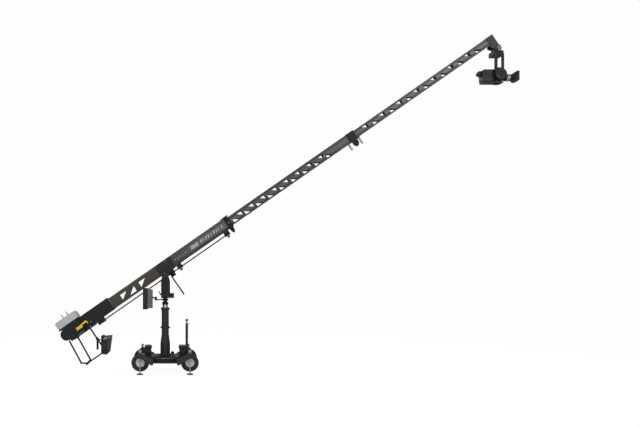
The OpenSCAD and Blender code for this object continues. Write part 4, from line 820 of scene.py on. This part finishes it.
def box_fittings(sizes, bright, black):
    """Latches, handles and screws on the two equipment boxes."""
    latch = Form().box((-0.011, -0.020, -0.0004), (0.011, 0.004, 0.004), 0.0012)
    latch.box((-0.008, 0.002, 0.002), (0.008, 0.018, 0.0055), 0.001)
    spots = [(sign, y) for sign in (-1.0, 1.0) for y in (-0.085, 0.085)]
    frames = [facing((sign * BOX_X, y, 0.374), AHEAD * sign) for sign, y in spots]
    repeat("box_latches", latch.data("latch"), frames, bright, "dolly")
    grip = Form()
    for sign in (-1.0, 1.0):
        root, plate, bar = (sign * (BOX_Y + out) for out in (-SUNK, 0.0012, 0.0060))
        for x in (-0.322, 0.262):
            y0, y1 = sorted((root, bar))
            grip.box((x, y0, 0.330), (x + 0.060, y1, 0.344), 0.0025)
            y0, y1 = sorted((root, plate))
            grip.box((x - 0.006, y0, 0.322), (x + 0.066, y1, 0.352), 0.0006)
    grip.piece("box_handles", black, "dolly")
    frames = [facing((x, sign * BOX_Y, z), FAR * sign) for sign in (-1.0, 1.0)
              for x in (-0.333, -0.249, 0.249, 0.333) for z in (0.266, 0.380)]
    repeat("box_screws", cap_screw(sizes.small_screw_radius, 0.0018), frames, black, "dolly")


class CRANE_OT_dolly_details(Operator):
    """Adds the dolly's trims, flange screws, box latches and handles"""
    bl_idname = "crane.dolly_details"
    bl_label = "Dolly details"

    def execute(self, context):
        sizes = context.scene.crane_fittings
        bright = machined_metal("dolly_bright", linear(150, 151, 152), 0.34)
        black = machined_metal("dolly_screw", linear(60, 60, 62), 0.42)
        edge_trims(bright)
        deck_screws(sizes, bright, black)
        box_fittings(sizes, bright, black)
        return {"FINISHED"}


def tread_block():
    """A pair of staggered shoulder blocks at the top of a tyre, about the wheel's centre."""
    block = Form()
    across = Matrix(((0, 0, 1, 0), (1, 0, 0, 0), (0, 1, 0, 0), (0, 0, 0, 1)))
    half_length, stagger = 0.0045, 0.004
    outline = ((0.0115, 0.1430), (0.0120, 0.1462), (0.0160, 0.1464), (0.0245, 0.1412), (0.0262, 0.1380),
               (0.0240, 0.1340))
    for sign in (-1.0, 1.0):
        middle = sign * stagger
        block.prism([(sign * y, z) for y, z in outline], middle - half_length, middle + half_length, across)
    return block.data("tread_block")


class CRANE_OT_wheels(Operator):
    """Adds tread blocks to the tyres and bolts to the hubs"""
    bl_idname = "crane.wheels"
    bl_label = "Wheels"

    def execute(self, context):
        count = context.scene.crane_fittings.tread_blocks
        rubber = tyre_rubber("tread_rubber", context.scene.crane_finish.rubber)
        bright = machined_metal("hub_bolt", linear(120, 121, 122), 0.36)
        block, bolt = tread_block(), cap_screw(0.0062, 0.006)
        for end in ("rear", "front"):
            for side, sign in SIDES:
                wheel = "%s_%s" % (end, side)
                low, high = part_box("tyre_" + wheel)
                centre = (Vector(low) + Vector(high)) / 2.0
                frames = [Matrix.Translation(centre) @ Matrix.Rotation(angle, 4, "Y")
                          for angle in full_turn(count)]
                repeat("tread_" + wheel, block, frames, rubber, "wheel_" + wheel)
                face = facing(centre + Vector((0.0, sign * 0.0162, 0.0)), FAR * sign)
                frames = bolt_circle(face, 6, 0.048, 30.0)
                repeat("hub_bolts_" + wheel, bolt, frames, bright, "wheel_" + wheel)
        return {"FINISHED"}


def grip_ribs(name, start, end, radius, count, material, body):
    """Rings round a straight hand grip, from one end to the other."""
    start, end = Vector(start), Vector(end)
    aim = (end - start).normalized()
    pitch = (end - start).length / count
    half = pitch * 0.3
    part = Form().ring(radius - 0.001, radius + 0.0012, -half, half, segments=40).data("grip_ring")
    frames = [facing(start + aim * pitch * (i + 0.5), aim, FAR) for i in range(count)]
    repeat(name, part, frames, material, body)


class CRANE_OT_grips(Operator):
    """Puts ribbed rubber on the hand grips"""
    bl_idname = "crane.grips"
    bl_label = "Hand grips"

    def execute(self, context):
        ribs = context.scene.crane_fittings.grip_ribs
        rubber = tyre_rubber("grip_rubber", linear(26, 26, 27))
        handle = at_boom(-1.553, -0.110, -0.241)
        grip_ribs("push_grip", handle - UP * 0.045, handle - UP * 0.172, 0.017, ribs, rubber, "carriage")
        top, end = (at_boom(0.073, -0.134, v) for v in (-0.300, -0.440))
        grip_ribs("lever_grip", top, end, 0.012, ribs, rubber, "hand_lever")
        post_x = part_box("steering_post")[0][0] + 0.106
        grip_ribs("post_grip", (post_x, 0.0, 0.560), (post_x, 0.0, 0.770), 0.021, ribs + 8, rubber, "post")
        return {"FINISHED"}


# Fittings of the screens and the camera, from the corners of their cases

def terminal_fittings(sizes, glass, black, keys):
    """Display glass with a frame, a row of keys, screws and side ribs on the large terminal."""
    low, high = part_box("terminal_screen")
    pocket = low[0] + 0.006
    root = pocket + 0.0002
    y0, y1 = low[1] + 0.018, high[1] - 0.018
    z0, z1 = low[2] + 0.040, high[2] - 0.018
    rim, gap = 0.003, 0.002
    pane = Form().box((pocket - 0.0016, y0 + gap, z0 + gap), (root, y1 - gap, z1 - gap), 0.0006)
    pane.piece("terminal_glass", glass, "terminal")
    lip = Form()
    for z in (z0, z1 - rim):
        lip.box((pocket - rim, y0, z), (root, y1, z + rim))
    for y in (y0, y1 - rim):
        lip.box((pocket - rim, y, z0 + rim), (root, y + rim, z1 - rim))
    lip.piece("terminal_bezel", black, "terminal")
    frames = [facing((low[0] + SUNK, low[1] + 0.045 + 0.032 * i, low[2] + 0.020), -AHEAD) for i in range(6)]
    key = Form().turned(((0.0080, 0.0), (0.0080, 0.0012), (0.0066, 0.0026), (0.0030, 0.0022)), segments=24)
    repeat("terminal_keys", key.data("key"), frames, keys, "terminal")
    inset = 0.012
    heights = (low[2] + inset, (low[2] + high[2]) / 2.0, high[2] - inset)
    spots = [(x, z) for x in (low[0] + inset, high[0] - 0.010) for z in heights]
    case_screws("terminal_screws", (low, high), spots, sizes.small_screw_radius, black, "terminal")
    ribs = Form()
    for i in range(7):
        z = low[2] + 0.110 + 0.024 * i
        ribs.box((low[0] + 0.020, low[1] - 0.0006, z), (high[0] - 0.016, low[1] + 0.001, z + 0.006), 0.0005)
    ribs.piece("terminal_side_ribs", black, "terminal")


def tail_fittings(glass, black, yellow, pale):
    """Glass on the small tail monitor, and panels, a stripe, screws and vents on its near side."""
    low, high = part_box("tail_monitor")
    x, y, z = low
    top, inset, root = high[2], 0.016, 0.001
    pane = Form().box((x - 0.0008, y + inset, z + 0.040), (x + root, high[1] - inset, top - inset), 0.0006)
    pane.piece("tail_glass", glass, "carriage")
    stripe = Form().box((x + 0.040, y - 0.0012, top - 0.052), (x + 0.094, y + root, top - 0.040), 0.0005)
    stripe.piece("tail_stripe", yellow, "carriage")
    corner = facing(low, NEAR)
    outline = ((0.050, 0.270), (0.149, 0.270), (0.1525, 0.297), (0.050, 0.286))
    Form().prism(outline, -root, 0.0014, corner).piece("tail_panel", pale, "carriage")
    grey = painted_metal("side_grey", linear(58, 64, 64), 0.5, 0.2)
    outline = ((0.100, 0.074), (0.126, 0.074), (0.147, 0.256), (0.100, 0.256))
    Form().prism(outline, -root, 0.0012, corner).piece("tail_side", grey, "carriage")
    spots = [(x + 0.012, z + 0.040), (x + 0.012, top - 0.012), (x + 0.118, z + 0.050),
             (x + 0.090, top - 0.070)]
    side_screws("tail_screws", spots, y, -1.0, cap_screw(0.0036, 0.002), black, "carriage")
    vents = Form()
    for i in range(8):
        foot = z + 0.100 + 0.012 * i
        vents.box((x + 0.030, y - 0.0008, foot), (x + 0.090, y + root, foot + 0.005), 0.0004)
    vents.piece("tail_vents", black, "carriage")


class CRANE_OT_screens(Operator):
    """Adds display glass, frames, keys and panels to the terminal and the tail monitor"""
    bl_idname = "crane.screens"
    bl_label = "Screens"

    def execute(self, context):
        glass = screen_glass("display_glass", linear(16, 18, 22), linear(34, 38, 46))
        black = machined_metal("panel_screw", linear(70, 70, 72), 0.42)
        keys = moulded_plastic("key_plastic", linear(120, 122, 124))
        yellow = painted_metal("tally_yellow", context.scene.crane_finish.lever, 0.4, 0.1)
        pale = painted_metal("hood_grey", linear(120, 122, 120), 0.5, 0.2)
        terminal_fittings(context.scene.crane_fittings, glass, black, keys)
        tail_fittings(glass, black, yellow, pale)
        return {"FINISHED"}


def camera_fittings(sizes, glass, black, keys):
    """Panel, display, keys, dial and screws on the camera's body."""
    low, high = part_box("camera_body")
    x, near, z = low
    top = high[2] - 0.010
    seat = near - 0.0016
    panel = Form().box((x + 0.190, near - 0.0018, z + 0.055), (x + 0.318, near + 0.001, top - 0.030), 0.0012)
    panel.piece("camera_panel", black, "cradle")
    pane = Form().box((x + 0.200, near - 0.0024, top - 0.078), (x + 0.262, near - 0.001, top - 0.040), 0.0004)
    pane.piece("camera_display", glass, "cradle")
    key = Form().turned(((0.0042, 0.0), (0.0042, 0.0012), (0.0034, 0.0020)), segments=18)
    pitch = 0.014
    frames = [facing((x + 0.276 + pitch * i, seat, top - 0.046 - pitch * j), NEAR)
              for i in range(3) for j in range(3)]
    repeat("camera_keys", key.data("key"), frames, keys, "cradle")
    profile = ((0.0125, 0.0), (0.0125, 0.0040), (0.0110, 0.0056), (0.0040, 0.0056))
    dial = Form().turned(profile, facing((x + 0.226, seat, z + 0.082), NEAR), 36)
    dial.piece("camera_dial", keys, "cradle")
    spots = [(u, v) for u in (x + 0.030, high[0] - 0.010) for v in (z + 0.012, top - 0.046)]
    case_screws("camera_screws", (low, high), spots, sizes.small_screw_radius, black, "cradle")


def lens_fittings(glass, ridge, rubber):
    """Teeth on the focus ring, and rings, front glass and bezel on the lens."""
    low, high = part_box("lens_barrel")
    axis_z = (low[2] + high[2]) / 2.0
    ring_low, ring_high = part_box("focus_ring")
    radius = (ring_high[2] - ring_low[2]) / 2.0
    centre = Vector(((ring_low[0] + ring_high[0]) / 2.0, 0.0, axis_z))
    half = (ring_high[0] - ring_low[0]) / 2.0 - 0.003
    tooth = Form().box((-0.0012, -half, -0.0005), (0.0012, half, 0.0012)).data("tooth")
    teeth = 64
    outward = [Vector((0.0, math.cos(a), math.sin(a))) for a in full_turn(teeth)]
    frames = [facing(centre + out * radius, out, AHEAD) for out in outward]
    repeat("focus_teeth", tooth, frames, rubber, "ring")
    rings, proud = Form(), 0.0018
    wide, slim = (0.068, 0.082), (0.140, 0.150, 0.160, 0.170)
    for barrel, width, places in ((0.055, 0.004, wide), (0.053, 0.0035, slim)):
        for x in places:
            rings.ring(barrel, barrel + proud, 0.0, width, facing((low[0] + x, 0.0, axis_z), AHEAD))
    rings.piece("lens_rings", ridge, "cradle")
    front = facing((high[0] - SUNK_DEEP, 0.0, axis_z), AHEAD)
    dome = ((0.0370, 0.0), (0.0350, 0.0022), (0.0270, 0.0052), (0.0150, 0.0074), (0.0030, 0.0082))
    Form().turned(dome, front, 56).piece("lens_front", glass, "cradle")
    Form().ring(0.0365, 0.0398, 0.0, 0.0036, front).piece("lens_bezel", ridge, "cradle")


def head_fittings(black, ridge):
    """Screws on the head's arm and round its tilt disc, and a thin rim on the disc."""
    tilt = Vector(JOINTS["camera_tilt"]["pos_m"])
    arm_x, arm_y, disc_y = tilt.x - 0.024, -0.1058, -0.1198
    spots = [(x, z) for x in (-0.060, 0.062) for z in (0.110, 0.220)] + [(-0.052, 0.330), (0.056, 0.330)]
    frames = [facing((arm_x + x, arm_y, tilt.z + z), NEAR) for x, z in spots]
    repeat("head_screws", cap_screw(0.0044, 0.003), frames, black, "head")
    disc = facing((tilt.x, disc_y, tilt.z), NEAR)
    repeat("head_disc_screws", cap_screw(0.0040, 0.0026), bolt_circle(disc, 8, 0.080), black, "head")
    Form().ring(0.060, 0.064, -0.0004, 0.0012, disc).piece("head_disc_rim", ridge, "head")


class CRANE_OT_camera_details(Operator):
    """Adds the camera's panel, keys, lens rings and front glass, and the head's screws"""
    bl_idname = "crane.camera_details"
    bl_label = "Camera details"

    def execute(self, context):
        glass = screen_glass("lens_glass", linear(12, 14, 22), linear(30, 26, 48))
        black = machined_metal("camera_screw", linear(74, 74, 76), 0.4)
        keys = moulded_plastic("dial_plastic", linear(96, 97, 99))
        rubber = tyre_rubber("ring_rubber", linear(24, 24, 25))
        ridge = machined_metal("ring_metal", linear(70, 71, 73), 0.36)
        camera_fittings(context.scene.crane_fittings, glass, black, keys)
        lens_fittings(glass, ridge, rubber)
        head_fittings(black, ridge)
        return {"FINISHED"}


# Floor, light and view

LAMPS = (
    # name, place, point it looks at, size in metres, share of the lamp power
    ("key_lamp", (-3.5, -7.0, 7.5), (1.5, 0.0, 2.6), 4.5, 1.0),
    ("side_lamp", (7.5, -6.0, 6.0), (3.0, 0.0, 3.0), 4.0, 0.55),
    ("rim_lamp", (1.0, 6.5, 7.0), (1.0, 0.0, 2.2), 5.0, 0.5),
    ("low_lamp", (-1.0, -8.0, 1.4), (0.5, 0.0, 0.9), 3.0, 0.22),
)


def make_floor(scene, backdrop):
    """A floor that the view sees almost as bright as the wall, with a trace of shadow."""
    reach, thickness, glow, shadow_share = 14.0, 0.02, 1.065, 0.1
    mesh = Form().box((-reach, -reach, -thickness), (reach, reach, 0.0)).data("floor")
    floor = bpy.data.objects.new("floor", mesh)
    scene.collection.objects.link(floor)
    shader = Shader("floor_white")
    ray = shader.add("ShaderNodeLightPath")
    seen = shader.add("ShaderNodeEmission", Color=backdrop, Strength=glow)
    cloud = shader.noise(0.8, 3.0, 0.5)
    soft = shader.add("ShaderNodeBsdfDiffuse", Color=shader.mix(cloud, toned(backdrop, 0.93), backdrop))
    both = shader.add("ShaderNodeMixShader")
    share = shader.math("MULTIPLY", ray.outputs["Is Camera Ray"], 1.0 - shadow_share)
    for socket, source in zip(both.inputs, (share, soft.outputs[0], seen.outputs[0])):
        shader.set(socket, source)
    shader.tree.links.new(both.outputs[0], shader.output.inputs[0])
    mesh.materials.append(shader.material)


def make_world(scene, backdrop):
    """A white wall for the view, and a weaker cool light on the crane."""
    cool, weak = (0.92, 0.95, 1.0), 0.34
    world = bpy.data.worlds.new("studio")
    world.use_nodes = True
    nodes, join = world.node_tree.nodes, world.node_tree.links.new
    nodes.clear()
    ray = nodes.new("ShaderNodeLightPath")
    choose = nodes.new("ShaderNodeMixShader")
    out = nodes.new("ShaderNodeOutputWorld")
    join(ray.outputs["Is Camera Ray"], choose.inputs[0])
    for socket, colour, strength in ((1, cool, weak), (2, backdrop, 1.0)):
        light = nodes.new("ShaderNodeBackground")
        light.inputs[0].default_value = colour + (1.0,)
        light.inputs[1].default_value = strength
        join(light.outputs[0], choose.inputs[socket])
    join(choose.outputs[0], out.inputs[0])
    scene.world = world
    scene.view_settings.view_transform = "Standard"


def make_lamps(scene, power):
    for name, spot, target, size, share in LAMPS:
        light = bpy.data.lights.new(name, "AREA")
        light.shape = "SQUARE"
        light.size = size
        light.energy = power * share
        lamp = bpy.data.objects.new(name, light)
        scene.collection.objects.link(lamp)
        lamp.location = spot
        lamp.rotation_euler = (Vector(target) - Vector(spot)).to_track_quat("-Z", "Y").to_euler()


def make_view(scene, setting):
    """A level camera that looks along Y, with its lens shifted as in the photo."""
    eye = bpy.data.cameras.new("view")
    eye.sensor_width = 36.0
    eye.clip_end = 100.0
    for key in ("lens", "shift_x", "shift_y"):
        setattr(eye, key, getattr(setting, key))
    camera = bpy.data.objects.new("view", eye)
    scene.collection.objects.link(camera)
    camera.location = (setting.eye_x, -setting.distance, setting.eye_height)
    camera.rotation_euler = (math.radians(90.0), 0.0, 0.0)
    scene.camera = camera


class CRANE_OT_stage(Operator):
    """Sets up the floor, the backdrop, the lights and the camera"""
    bl_idname = "crane.stage"
    bl_label = "Stage"

    def execute(self, context):
        scene, setting = context.scene, context.scene.crane_stage
        backdrop = tuple(setting.backdrop)
        make_floor(scene, backdrop)
        make_world(scene, backdrop)
        make_lamps(scene, setting.lamp_power)
        make_view(scene, setting)
        return {"FINISHED"}


# The order in which the operators run
PIECES = (
    CRANE_OT_finishes,
    CRANE_OT_boom_fasteners,
    CRANE_OT_boom_marks,
    CRANE_OT_yoke_fasteners,
    CRANE_OT_dolly_details,
    CRANE_OT_wheels,
    CRANE_OT_grips,
    CRANE_OT_screens,
    CRANE_OT_camera_details,
    CRANE_OT_stage,
)
GROUPS = (("crane_finish", CraneFinish), ("crane_fittings", CraneFittings), ("crane_stage", CraneStage))


class CRANE_PT_panel(Panel):
    """Lists the crane's settings and its operators, in the order that they run"""
    bl_idname = "CRANE_PT_panel"
    bl_label = "Jib Crane"
    bl_space_type = "VIEW_3D"
    bl_region_type = "UI"
    bl_category = "Jib Crane"

    def draw(self, context):
        for name, group in GROUPS:
            column = self.layout.column()
            for key in group.__annotations__:
                column.prop(getattr(context.scene, name), key)
        for piece in PIECES:
            self.layout.operator(piece.bl_idname)


def register():
    for name, group in GROUPS:
        bpy.utils.register_class(group)
        setattr(bpy.types.Scene, name, PointerProperty(type=group))
    for item in PIECES + (CRANE_PT_panel,):
        bpy.utils.register_class(item)


def unregister():
    for item in reversed(PIECES + (CRANE_PT_panel,)):
        bpy.utils.unregister_class(item)
    for name, group in reversed(GROUPS):
        delattr(bpy.types.Scene, name)
        bpy.utils.unregister_class(group)


def main():
    register()
    for piece in PIECES:
        group, action = piece.bl_idname.split(".")
        if getattr(getattr(bpy.ops, group), action)() != {"FINISHED"}:
            raise RuntimeError(piece.bl_label + " did not finish")


if __name__ == "__main__":
    main()
